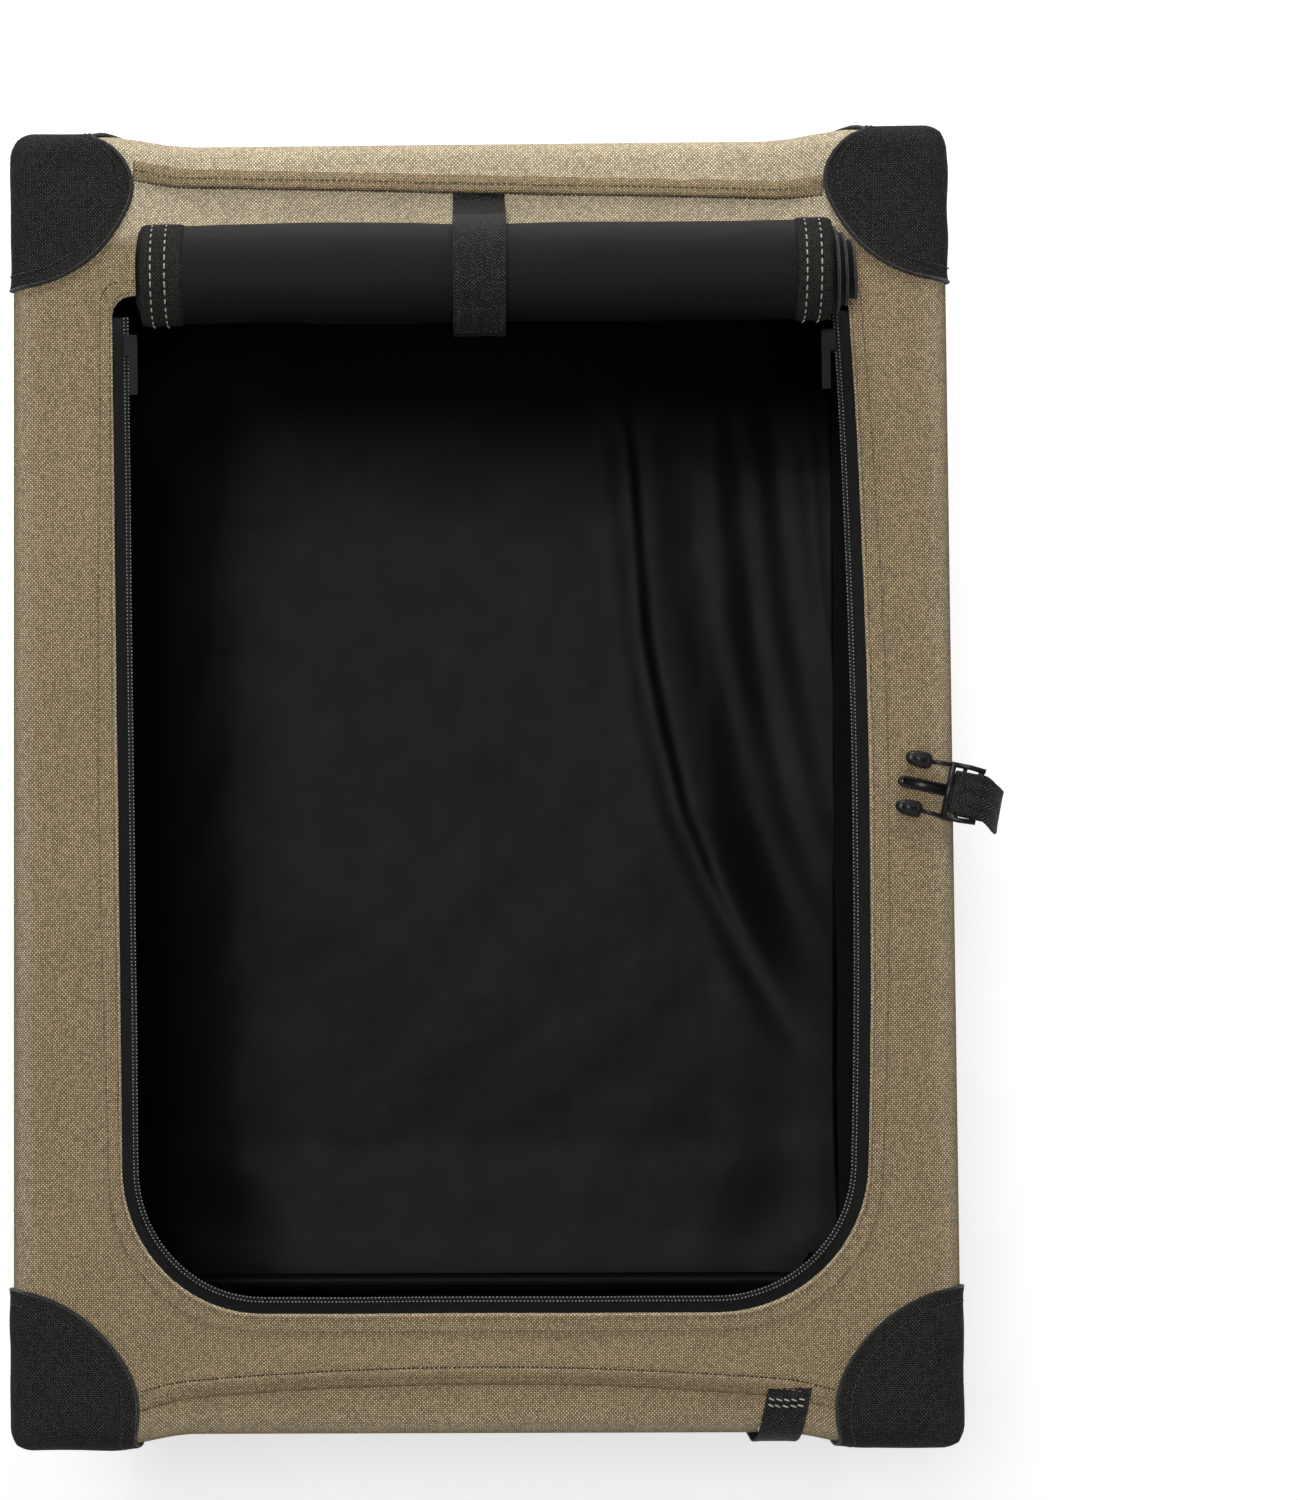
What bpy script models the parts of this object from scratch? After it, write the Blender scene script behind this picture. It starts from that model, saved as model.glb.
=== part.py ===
"""A soft folding dog crate: a fabric cover over a steel tube frame that folds flat.

The crate stands on z = 0, +Y points to its rear and +X to its right. Lengths are in metres.
Each end has two cross-braced post frames, hinged to the base, to each other and to the top,
so that the knees fold inward while the top comes straight down.
"""

import math

import bmesh
import bpy
from mathutils import Matrix, Vector

# Overall size, over the corner caps
WIDTH = 0.546
LENGTH = 0.762
HEIGHT = 0.533

# Clearance between pieces that touch, and running clearance between pieces that turn
GAP = 0.0003
RUN_GAP = 0.0005
CUT_OVERRUN = 0.02

# Detail shared by every piece
WELD = 0.00001
SHARP_DEG = 35
MITRE_LIMIT = 0.4
ROUND_SEGMENTS = 2

# Steel tube frame and its plastic elbows
TUBE_R = 0.008
TUBE_BORE_R = 0.007
ELBOW_WALL = 0.002
ELBOW_ARM = 0.042
ELBOW_BEND_R = 0.0115
SOCKET_DEPTH = 0.026
TUBE_SIDES = 16
ELBOW_ARC_STEPS = 4

# Cover cloth and corner caps
SKIN_T = 0.002
CAP_T = 0.0015
CAP_X = 0.076
CAP_Y = 0.093
CAP_Z = 0.093
CAP_ROUND_R = 0.046
SKIRT_H = 0.032
EDGE_SEGMENTS = 4
CAP_SEGMENTS = 5

# Fold-down posts
POST_R = 0.0065
POST_BORE_R = 0.0055
POST_SIDES = 14
TAB_T = 0.004
TAB_R = 0.007
TAB_REACH = 0.024
TAB_ROOT = 0.012
PIVOT_RISE = 0.0196
PIN_R = 0.003
PIN_HOLE_R = 0.0036
PIN_HEAD_R = 0.0055
PIN_HEAD_T = 0.002
PIN_SIDES = 12
CROSS_R = 0.005
CROSS_BORE_R = 0.004
CROSS_LOW = 0.09
CROSS_HIGH = 0.05
VENT_R = 0.002
EAR_T = 0.0035
EAR_ROOT = 0.001
RUN_BESIDE_RAIL = 0.002

# Door in the top, its zip and the roll that it is stowed in
OPENING_SIDE_MARGIN = 0.0592
OPENING_FRONT_MARGIN = 0.0772
OPENING_REAR_MARGIN = 0.0957
OPENING_FRONT_R = 0.082
OPENING_REAR_R = 0.012
ZIP_TAPE_W = 0.009
ZIP_TAPE_T = 0.0014
ARC_STEPS = 8
SLIDER_W = 0.009
SLIDER_L = 0.013
SLIDER_H = 0.006
SLIDER_GRIP = 0.0035
SLIDER_EDGE_R = 0.0009
SLIDER_INSET = 0.0295
PULL_W = 0.005
PULL_L = 0.022
PULL_T = 0.0012
PULL_LAP = 0.0087
ROLL_LEFT_INSET = 0.020
ROLL_RIGHT_OVERHANG = 0.002
ROLL_PAST_OPENING = 0.005
ROLL_HALF_Y = 0.0315
ROLL_HALF_Z = 0.025
ROLL_SHEET_T = 0.0016
ROLL_TURNS = 4
ROLL_STEPS = 18
ROLL_CORE_HALF_Y = 0.015
ROLL_CORE_HALF_Z = 0.0095
ROLL_TAIL = 0.001

# Webbing, in the two widths used
WEB_W = 0.025
WIDE_WEB_W = 0.030
WEB_T = 0.0016
STRAP_SEAM_INSET = 0.0317
STRAP_FLAT = 0.013
STRAP_ARCH_START_DEG = -10
STRAP_PAST_MIDDLE = 0.004
STRAP_FLARE = 0.0012
STRAP_OVER_ROLL = 0.0009
STRAP_STEPS = 8
TAB_INSET = 0.1002
TAB_ON_TOP = 0.018
TAB_HANG = 0.040

# Side-release buckle and its straps
BUCKLE_BASE_L = 0.020
BUCKLE_BASE_W = 0.033
BUCKLE_BASE_T = 0.0075
BUCKLE_PRONG_T = 0.005
BUCKLE_PRONG_L = 0.027
BUCKLE_HALF_W = 0.019
BUCKLE_ARM_W = 0.004
BUCKLE_HEAD_W = 0.008
BUCKLE_HEAD_L = 0.011
BUCKLE_GUIDE_W = 0.006
BUCKLE_GUIDE_TIP_W = 0.0036
BUCKLE_EDGE_R = 0.0015
BUCKLE_TURN_DEG = 12.5
BUCKLE_TIP_INSET = 0.0327
STRAP_STAND_OFF = 0.026
STRAP_ROOT_DROP = 0.0262
STRAP_ROOT_L = 0.016
STRAP_LOOP_R = 0.012
LOOP_START_DEG = 330
LOOP_LOW_DEG = 70
FEMALE_L = 0.044
FEMALE_W = 0.040
FEMALE_T = 0.012
FEMALE_WALL = 0.0022
FEMALE_DEPTH = 0.030
FEMALE_WINDOW_LOW = 0.009
FEMALE_WINDOW_HIGH = 0.024
FEMALE_SLOT_INSET = 0.005
FEMALE_STRAP_DROP = 0.018
FEMALE_ROOT_Y = 0.045
FEMALE_ROOT_Z = 0.100
FEMALE_EDGE_R = 0.002
BAR_R = 0.0019
BAR_SIDES = 12
BAR_INSET = 0.0024
BAR_WINDOW_L = 0.0125

# Windows and front door in the walls
WINDOW_END_MARGIN = 0.1442
WINDOW_LOW_Z = 0.215
WINDOW_TOP_MARGIN = 0.0962
WINDOW_R = 0.040
MESH_T = 0.0008
MESH_LAP = 0.012
DOOR_SIDE_MARGIN = 0.0892
DOOR_LOW_Z = 0.062
DOOR_TOP_MARGIN = 0.0762
DOOR_LOW_R = 0.075
DOOR_HIGH_R = 0.010
DOOR_GAP = 0.0008

# Floor
PAD_SIDE_INSET = 0.0862
PAD_END_INSET = 0.0342
LINER_T = 0.0012
LINER_LIFT = 0.0006
LINER_RISE = 0.007
LINER_COLUMNS = 16
LINER_ROWS = 20

# Where each fold of the floor lining starts and ends, as shares of the lining's half size
LINER_FOLD_shares = [
    ((0.42, 0.78), (0.98, -0.52), 1.0),
    ((0.47, 0.40), (0.74, -0.12), 0.6),
    ((0.62, 0.80), (0.97, 0.14), 0.7),
    ((-0.70, 0.62), (-0.88, 0.18), 0.5),
    ((-0.55, 0.58), (-0.76, 0.02), 0.35),
]
FOLD_H = 0.009
FOLD_W = 0.040
FOLD_END_share = 0.12

# Cover, rails and pivots that follow from those
COVER_X = WIDTH / 2 - CAP_T - GAP
COVER_Y = LENGTH / 2 - CAP_T - GAP
COVER_TOP = HEIGHT - CAP_T - GAP
COVER_LOW = CAP_T + GAP
ELBOW_R = TUBE_R + GAP + ELBOW_WALL
EDGE_R = ELBOW_R + GAP + SKIN_T
RAIL_X = COVER_X - EDGE_R
RAIL_Y = COVER_Y - EDGE_R
BASE_RAIL_Z = COVER_LOW + EDGE_R
TOP_RAIL_Z = COVER_TOP - EDGE_R
EAR_OUT_X = RAIL_X - TUBE_R - GAP - EAR_ROOT
EAR_IN_X = EAR_OUT_X - EAR_T
LOW_POST_X = EAR_IN_X - RUN_GAP - TAB_T / 2
HIGH_POST_X = LOW_POST_X - 2 * POST_R - RUN_GAP
KNEE_X = (LOW_POST_X + HIGH_POST_X) / 2
TAB_SHIFT = LOW_POST_X - KNEE_X - (RUN_GAP + TAB_T) / 2
POST_Y = RAIL_Y - ELBOW_R - POST_R - RUN_BESIDE_RAIL
BASE_PIVOT_Z = BASE_RAIL_Z + PIVOT_RISE
TOP_PIVOT_Z = TOP_RAIL_Z - PIVOT_RISE
KNEE_Z = (BASE_PIVOT_Z + TOP_PIVOT_Z) / 2
WALL_LOW_Z = COVER_LOW + SKIRT_H + GAP
WALL_HIGH_Z = COVER_TOP - SKIRT_H - GAP
OPENING_HALF_X = COVER_X - OPENING_SIDE_MARGIN
OPENING_FRONT_Y = OPENING_FRONT_MARGIN - COVER_Y
OPENING_REAR_Y = COVER_Y - OPENING_REAR_MARGIN
SLIDER_Y = OPENING_REAR_Y - SLIDER_INSET
ROLL_LEFT_X = ROLL_LEFT_INSET - OPENING_HALF_X
ROLL_RIGHT_X = OPENING_HALF_X + ROLL_RIGHT_OVERHANG
ROLL_Y = OPENING_REAR_Y + ROLL_PAST_OPENING
ROLL_Z = HEIGHT + GAP + ROLL_HALF_Z
STRAP_SEAM_Y = COVER_Y - STRAP_SEAM_INSET
TAB_X = COVER_X - TAB_INSET
BUCKLE_TIP_X = COVER_X - BUCKLE_TIP_INSET
STRAP_ROOT_Z = COVER_TOP - STRAP_ROOT_DROP
WINDOW_HALF_Y = COVER_Y - WINDOW_END_MARGIN
WINDOW_HIGH_Z = COVER_TOP - WINDOW_TOP_MARGIN
DOOR_HALF_X = COVER_X - DOOR_SIDE_MARGIN
DOOR_HIGH_Z = COVER_TOP - DOOR_TOP_MARGIN
PAD_HALF_X = COVER_X - PAD_SIDE_INSET
PAD_HALF_Y = COVER_Y - PAD_END_INSET
LINER_FLOOR_X = RAIL_X - ELBOW_R - LINER_RISE
LINER_FLOOR_Y = RAIL_Y - ELBOW_R - LINER_RISE
LINER_FLOOR_Z = COVER_LOW + SKIN_T + LINER_LIFT + LINER_T
LINER_RAIL_Z = BASE_RAIL_Z + TUBE_R + GAP + LINER_T

PARTS = "soft_folding_dog_crate"
CUTTERS = "cutters"


def clear_scene():
    for obj in list(bpy.data.objects):
        bpy.data.objects.remove(obj, do_unlink=True)
    for collection in list(bpy.data.collections):
        bpy.data.collections.remove(collection)
    for name in (PARTS, CUTTERS):
        bpy.context.scene.collection.children.link(bpy.data.collections.new(name))


def add_material(name, colour, roughness, metallic=0.0):
    material = bpy.data.materials.new(name)
    material.use_nodes = True
    shader = material.node_tree.nodes["Principled BSDF"]
    shader.inputs["Base Color"].default_value = (*colour, 1.0)
    shader.inputs["Roughness"].default_value = roughness
    shader.inputs["Metallic"].default_value = metallic
    return material


def keep_object(name, mesh, cutter=False):
    obj = bpy.data.objects.new(name, mesh)
    bpy.data.collections[CUTTERS if cutter else PARTS].objects.link(obj)
    if cutter:
        obj.hide_render = True
        obj.display_type = "WIRE"
    return obj


def box(name, low, high, cutter=False):
    """A box between two corners, with its origin at its middle."""
    low, high = Vector(low), Vector(high)
    mesh = bpy.data.meshes.new(name)
    shape = bmesh.new()
    bmesh.ops.create_cube(shape, size=1)
    bmesh.ops.scale(shape, vec=high - low, verts=shape.verts)
    shape.to_mesh(mesh)
    shape.free()
    obj = keep_object(name, mesh, cutter)
    obj.location = (low + high) / 2
    return obj


def rounded_box(name, low, high, radius, segments, cutter=False):
    obj = box(name, low, high, cutter)
    bevel = obj.modifiers.new("round_edges", "BEVEL")
    bevel.width = radius
    bevel.segments = segments
    bevel.limit_method = "NONE"
    return obj


def rod(name, start, end, radius, sides=PIN_SIDES, cutter=False):
    """A round bar between two points, with its origin at its middle."""
    start, end = Vector(start), Vector(end)
    mesh = bpy.data.meshes.new(name)
    shape = bmesh.new()
    bmesh.ops.create_cone(
        shape,
        cap_ends=True,
        segments=sides,
        radius1=radius,
        radius2=radius,
        depth=(end - start).length,
    )
    turn = (end - start).to_track_quat("Z", "Y").to_matrix()
    bmesh.ops.rotate(shape, cent=(0, 0, 0), matrix=turn, verts=shape.verts)
    shape.to_mesh(mesh)
    shape.free()
    obj = keep_object(name, mesh, cutter)
    obj.location = (start + end) / 2
    return obj


def circle(radius, sides=TUBE_SIDES):
    turns = [2 * math.pi * step / sides for step in range(sides)]
    return [(radius * math.cos(turn), radius * math.sin(turn)) for turn in turns]


def arc(centre, radius, start_deg, end_deg, steps=ARC_STEPS):
    """Points along an arc, both ends included."""
    points = []
    for step in range(steps + 1):
        turn = math.radians(start_deg + (end_deg - start_deg) * step / steps)
        points.append((centre[0] + radius * math.cos(turn), centre[1] + radius * math.sin(turn)))
    return points


def rounded_outline(low, high, low_r, high_r):
    """A rectangle whose two low corners and two high corners have their own radii."""
    (x0, y0), (x1, y1) = low, high
    return [
        *arc((x1 - low_r, y0 + low_r), low_r, -90, 0),
        *arc((x1 - high_r, y1 - high_r), high_r, 0, 90),
        *arc((x0 + high_r, y1 - high_r), high_r, 90, 180),
        *arc((x0 + low_r, y0 + low_r), low_r, 180, 270),
    ]


def band_outline(path, thickness):
    """The closed outline of a band that lies to the left of a path."""
    points = [Vector(point) for point in path]
    outer = []
    for index, point in enumerate(points):
        before = points[max(index - 1, 0)]
        after = points[min(index + 1, len(points) - 1)]
        first = (point - before) if index else (after - point)
        last = (after - point) if index < len(points) - 1 else (point - before)
        first, last = first.normalized(), last.normalized()
        way = (first + last).normalized()
        side = Vector((-way.y, way.x))
        outer.append(point + side * thickness / max(side.dot(Vector((-first.y, first.x))), MITRE_LIMIT))
    return [tuple(point) for point in points] + [tuple(point) for point in reversed(outer)]


# How a flat shape's own x, y and thickness lie in the crate
FLAT = Matrix(((1, 0, 0), (0, 1, 0), (0, 0, 1)))
ACROSS = Matrix(((0, 0, 1), (1, 0, 0), (0, 1, 0)))
ALONG = Matrix(((1, 0, 0), (0, 0, -1), (0, 1, 0)))


def plate(name, outlines, start, end, lie=FLAT, cutter=False):
    """Outlines drawn flat, thickened from start to end and then laid as lie says."""
    curve = bpy.data.curves.new(name, "CURVE")
    curve.dimensions = "2D"
    curve.fill_mode = "BOTH"
    curve.extrude = (end - start) / 2
    for outline in outlines:
        spline = curve.splines.new("POLY")
        spline.points.add(len(outline) - 1)
        for point, (x, y) in zip(spline.points, outline):
            point.co = (x, y, 0, 1)
        spline.use_cyclic_u = True
    return curve_to_mesh(name, curve, lie.to_4x4() @ Matrix.Translation((0, 0, (start + end) / 2)), cutter)


def curve_to_mesh(name, curve, matrix, cutter=False):
    """A closed mesh object from a curve, with its caps welded."""
    drawn = bpy.data.objects.new(name, curve)
    bpy.context.scene.collection.objects.link(drawn)
    view = bpy.context.evaluated_depsgraph_get()
    mesh = bpy.data.meshes.new_from_object(drawn.evaluated_get(view))
    bpy.data.objects.remove(drawn)
    bpy.data.curves.remove(curve)
    shape = bmesh.new()
    shape.from_mesh(mesh)
    bmesh.ops.remove_doubles(shape, verts=shape.verts, dist=WELD)
    bmesh.ops.transform(shape, matrix=matrix, verts=shape.verts)
    bmesh.ops.recalc_face_normals(shape, faces=shape.faces)
    shape.to_mesh(mesh)
    shape.free()
    mesh.name = name
    return keep_object(name, mesh, cutter)


def change(obj, other, operation):
    """Joins, cuts or limits one object by another, which becomes a cutter."""
    boolean = obj.modifiers.new(operation.lower(), "BOOLEAN")
    boolean.operation = operation
    boolean.solver = "EXACT"
    boolean.object = other
    return obj


def finish(obj, material, origin=None, smooth=True):
    """Gives a piece its material and puts its origin on its joint."""
    obj.data.materials.clear()
    obj.data.materials.append(material)
    if origin is not None:
        obj.data.transform(Matrix.Translation(obj.location - Vector(origin)))
        obj.location = origin
    if smooth:
        obj.data.shade_smooth()
        obj.data.set_sharp_from_angle(angle=math.radians(SHARP_DEG))
    return obj


def make_materials():
    return {
        "tan_cloth": add_material("tan_cloth", (0.455, 0.325, 0.175), 0.85),
        "black_cloth": add_material("black_cloth", (0.012, 0.012, 0.013), 0.8),
        "lining": add_material("lining", (0.006, 0.006, 0.007), 0.45),
        "window_mesh": add_material("window_mesh", (0.01, 0.01, 0.01), 0.7),
        "webbing": add_material("webbing", (0.011, 0.011, 0.012), 0.7),
        "zip_tape": add_material("zip_tape", (0.01, 0.01, 0.011), 0.6),
        "steel": add_material("steel", (0.02, 0.02, 0.022), 0.4, 0.6),
        "plated": add_material("plated", (0.55, 0.56, 0.58), 0.3, 1.0),
        "plastic": add_material("plastic", (0.01, 0.01, 0.011), 0.35),
    }


def side_name(sign_x):
    return "right" if sign_x > 0 else "left"


def end_name(sign_y):
    return "rear" if sign_y > 0 else "front"


def build_frame(level, rail_z, materials):
    """Four rails and four plastic elbows at one height."""
    reach = ELBOW_ARM - SOCKET_DEPTH
    for sign in (-1, 1):
        outlines = [circle(TUBE_R), circle(TUBE_BORE_R)]
        half = RAIL_Y - reach
        rail = plate(f"{level}_rail_{side_name(sign)}", outlines, -half, half, ALONG)
        rail.location = (sign * RAIL_X, 0, rail_z)
        finish(rail, materials["steel"])
        half = RAIL_X - reach
        rail = plate(f"{level}_rail_{end_name(sign)}", outlines, -half, half, ACROSS)
        rail.location = (0, sign * RAIL_Y, rail_z)
        finish(rail, materials["steel"])
    for sign_x in (-1, 1):
        for sign_y in (-1, 1):
            build_elbow(level, rail_z, sign_x, sign_y, materials["plastic"])


def build_elbow(level, rail_z, sign_x, sign_y, material):
    name = f"{level}_elbow_{end_name(sign_y)}_{side_name(sign_x)}"
    bend = (-ELBOW_BEND_R, -ELBOW_BEND_R)
    path = [(-ELBOW_ARM, 0), *reversed(arc(bend, ELBOW_BEND_R, 0, 90, ELBOW_ARC_STEPS)), (0, -ELBOW_ARM)]
    curve = bpy.data.curves.new(name, "CURVE")
    curve.dimensions = "3D"
    curve.bevel_depth = ELBOW_R
    curve.bevel_resolution = TUBE_SIDES // 4 - 1
    curve.use_fill_caps = True
    spline = curve.splines.new("POLY")
    spline.points.add(len(path) - 1)
    for point, (x, y) in zip(spline.points, path):
        point.co = (sign_x * x, sign_y * y, 0, 1)
    elbow = curve_to_mesh(name, curve, Matrix.Identity(4))
    corner = Vector((sign_x * RAIL_X, sign_y * RAIL_Y, rail_z))
    elbow.location = corner
    for way in (Vector((-sign_x, 0, 0)), Vector((0, -sign_y, 0))):
        start = corner + way * (ELBOW_ARM - SOCKET_DEPTH - GAP)
        end = corner + way * (ELBOW_ARM + CUT_OVERRUN)
        bore = rod(f"{name}_socket", start, end, TUBE_R + GAP, TUBE_SIDES, cutter=True)
        change(elbow, bore, "DIFFERENCE")
    up = 1 if level == "base" else -1
    y, pivot_z = sign_y * POST_Y, rail_z + up * PIVOT_RISE
    turn = 0 if up > 0 else 180
    round_end = arc((y, pivot_z), TAB_R, turn, turn + 180)
    outline = [(y + up * TAB_R, rail_z), *round_end, (y - up * TAB_R, rail_z)]
    faces = sorted((sign_x * EAR_IN_X, sign_x * EAR_OUT_X))
    change(elbow, plate(f"{name}_ear", [outline], *faces, ACROSS, cutter=True), "UNION")
    ends = [(sign_x * x_end, y, pivot_z) for x_end in (EAR_IN_X - CUT_OVERRUN, EAR_OUT_X + CUT_OVERRUN)]
    change(elbow, rod(f"{name}_pin_hole", *ends, PIN_HOLE_R, cutter=True), "DIFFERENCE")
    finish(elbow, material)


def build_post_frame(name, sign_y, low_z, high_z, post_x, shifts, cross_z, material):
    """Two posts with a tab at each end and one cross tube between them."""
    y = sign_y * POST_Y
    cross_ends = (-post_x, y, cross_z), (post_x, y, cross_z)
    cross = rod(name, *cross_ends, CROSS_R, POST_SIDES)
    bores = rod(f"{name}_bores", *cross_ends, CROSS_BORE_R, POST_SIDES, cutter=True)
    for sign_x in (-1, 1):
        x = sign_x * post_x
        side = side_name(sign_x)
        ends = [(x, y, low_z + TAB_REACH - TAB_ROOT / 2), (x, y, high_z - TAB_REACH + TAB_ROOT / 2)]
        change(cross, rod(f"{name}_post_{side}", *ends, POST_R, POST_SIDES, cutter=True), "UNION")
        hollow = [(x, y, low_z + TAB_REACH + TAB_ROOT), (x, y, high_z - TAB_REACH - TAB_ROOT)]
        change(bores, rod(f"{name}_bore_{side}", *hollow, POST_BORE_R, POST_SIDES, cutter=True), "UNION")
        for shift, pivot_z, up in ((shifts[0], low_z, 1), (shifts[1], high_z, -1)):
            root = pivot_z + up * (TAB_REACH + TAB_ROOT)
            turn = 180 if up > 0 else 0
            round_end = arc((y, pivot_z), TAB_R, turn, turn + 180)
            tab = [*round_end, (y + up * TAB_R, root), (y - up * TAB_R, root)]
            faces = sorted(sign_x * (post_x + shift + half) for half in (-TAB_T / 2, TAB_T / 2))
            place = f"{name}_tab_{side}_{'low' if up > 0 else 'high'}"
            change(cross, plate(place, [tab], *faces, ACROSS, cutter=True), "UNION")
    vent_end = (0, y - sign_y * (CROSS_R + CUT_OVERRUN), cross_z)
    change(bores, rod(f"{name}_vent", (0, y, cross_z), vent_end, VENT_R, cutter=True), "UNION")
    change(cross, bores, "DIFFERENCE")
    for pivot_z in (low_z, high_z):
        reach = post_x + POST_R + CUT_OVERRUN
        for sign_x in (-1, 1):
            ends = [(sign_x * (post_x - POST_R - CUT_OVERRUN), y, pivot_z), (sign_x * reach, y, pivot_z)]
            hole = rod(f"{name}_hole_{side_name(sign_x)}", *ends, PIN_HOLE_R, cutter=True)
            change(cross, hole, "DIFFERENCE")
    finish(cross, material, origin=(0, y, low_z))


def build_posts(materials):
    for sign_y in (-1, 1):
        end = end_name(sign_y)
        low = (0, -TAB_SHIFT)
        high = (TAB_SHIFT, TAB_SHIFT)
        steel = materials["steel"]
        cross_low = BASE_PIVOT_Z + CROSS_LOW
        cross_high = TOP_PIVOT_Z - CROSS_HIGH
        build_post_frame(
            f"{end}_lower_posts", sign_y, BASE_PIVOT_Z, KNEE_Z, LOW_POST_X, low, cross_low, steel
        )
        build_post_frame(
            f"{end}_upper_posts", sign_y, KNEE_Z, TOP_PIVOT_Z, HIGH_POST_X, high, cross_high, steel
        )


def turned(name, profile, place):
    """A turned piece along X from (distance, radius) pairs, the first and last on its axis."""
    mesh = bpy.data.meshes.new(name)
    mesh.from_pydata(
        [(radius, 0, distance) for distance, radius in profile],
        [(index, index + 1) for index in range(len(profile) - 1)],
        [],
    )
    obj = keep_object(name, mesh)
    obj.location = place
    obj.rotation_euler.y = math.pi / 2
    screw = obj.modifiers.new("turn", "SCREW")
    screw.steps = PIN_SIDES
    screw.render_steps = PIN_SIDES
    screw.use_merge_vertices = True
    screw.merge_threshold = WELD
    return obj


def build_pins(materials):
    """Rivets at the base, knee and top of every post."""
    reach = TAB_T / 2 + RUN_GAP
    knee_in = HIGH_POST_X + TAB_SHIFT - reach
    knee_out = LOW_POST_X - TAB_SHIFT + reach
    ear_out = EAR_OUT_X + RUN_GAP
    base_in = LOW_POST_X - reach
    top_in = HIGH_POST_X + TAB_SHIFT - reach
    collar_end = HIGH_POST_X + TAB_SHIFT + reach
    for level, z, inner, outer, collar in (
        ("base", BASE_PIVOT_Z, base_in, ear_out, None),
        ("knee", KNEE_Z, knee_in, knee_out, None),
        ("top", TOP_PIVOT_Z, top_in, ear_out, (collar_end, EAR_IN_X - RUN_GAP)),
    ):
        start = inner - PIN_HEAD_T
        steps = [(start, 0), (start, PIN_HEAD_R), (inner, PIN_HEAD_R), (inner, PIN_R)]
        if collar:
            near, far = collar
            steps += [(near, PIN_R), (near, PIN_HEAD_R), (far, PIN_HEAD_R), (far, PIN_R)]
        tip = outer + PIN_HEAD_T
        steps += [(outer, PIN_R), (outer, PIN_HEAD_R), (tip, PIN_HEAD_R), (tip, 0)]
        for sign_x in (-1, 1):
            for sign_y in (-1, 1):
                name = f"{level}_pin_{end_name(sign_y)}_{side_name(sign_x)}"
                profile = [(sign_x * (x - inner), radius) for x, radius in steps]
                if sign_x > 0:
                    profile.reverse()
                pin = turned(name, profile, (sign_x * inner, sign_y * POST_Y, z))
                finish(pin, materials["plated"])


def cover_box(name, inset, cutter):
    """The whole cover as one rounded block, drawn in by an inset."""
    low = (-COVER_X + inset, -COVER_Y + inset, COVER_LOW + inset)
    high = (COVER_X - inset, COVER_Y - inset, COVER_TOP - inset)
    return rounded_box(name, low, high, EDGE_R - inset, EDGE_SEGMENTS, cutter)


def opening_outline(inset=0.0):
    low = (-OPENING_HALF_X + inset, OPENING_FRONT_Y + inset)
    high = (OPENING_HALF_X - inset, OPENING_REAR_Y - inset)
    return rounded_outline(low, high, OPENING_FRONT_R - inset, OPENING_REAR_R)


def build_cover(materials):
    """Floor tray, top lid and the walls between them."""
    hollow = cover_box("cover_hollow", SKIN_T, cutter=True)
    wide = max(WIDTH, LENGTH)
    tray_rim = (-wide, -wide, COVER_LOW + SKIRT_H)
    lid_rim = (wide, wide, COVER_TOP - SKIRT_H)
    over_floor = box("over_floor_tray", tray_rim, (wide, wide, 2 * HEIGHT), cutter=True)
    under_lid = box("under_top_panel", (-wide, -wide, -HEIGHT), lid_rim, cutter=True)

    floor = cover_box("floor_panel", 0, cutter=False)
    change(floor, hollow, "DIFFERENCE")
    change(floor, over_floor, "DIFFERENCE")
    pad_low, pad_high = (-PAD_HALF_X, -PAD_HALF_Y, 0), (PAD_HALF_X, PAD_HALF_Y, COVER_LOW + SKIN_T / 2)
    change(floor, box("floor_pad", pad_low, pad_high, cutter=True), "UNION")
    finish(floor, materials["black_cloth"])

    lid = cover_box("top_panel", 0, cutter=False)
    change(lid, hollow, "DIFFERENCE")
    change(lid, under_lid, "DIFFERENCE")
    ends = (COVER_TOP - SKIN_T - CUT_OVERRUN, COVER_TOP + CUT_OVERRUN)
    change(lid, plate("top_door_opening", [opening_outline()], *ends, cutter=True), "DIFFERENCE")
    finish(lid, materials["tan_cloth"])

    for sign_x in (-1, 1):
        build_side_wall(sign_x, materials)
    build_end_walls(materials)


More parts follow.
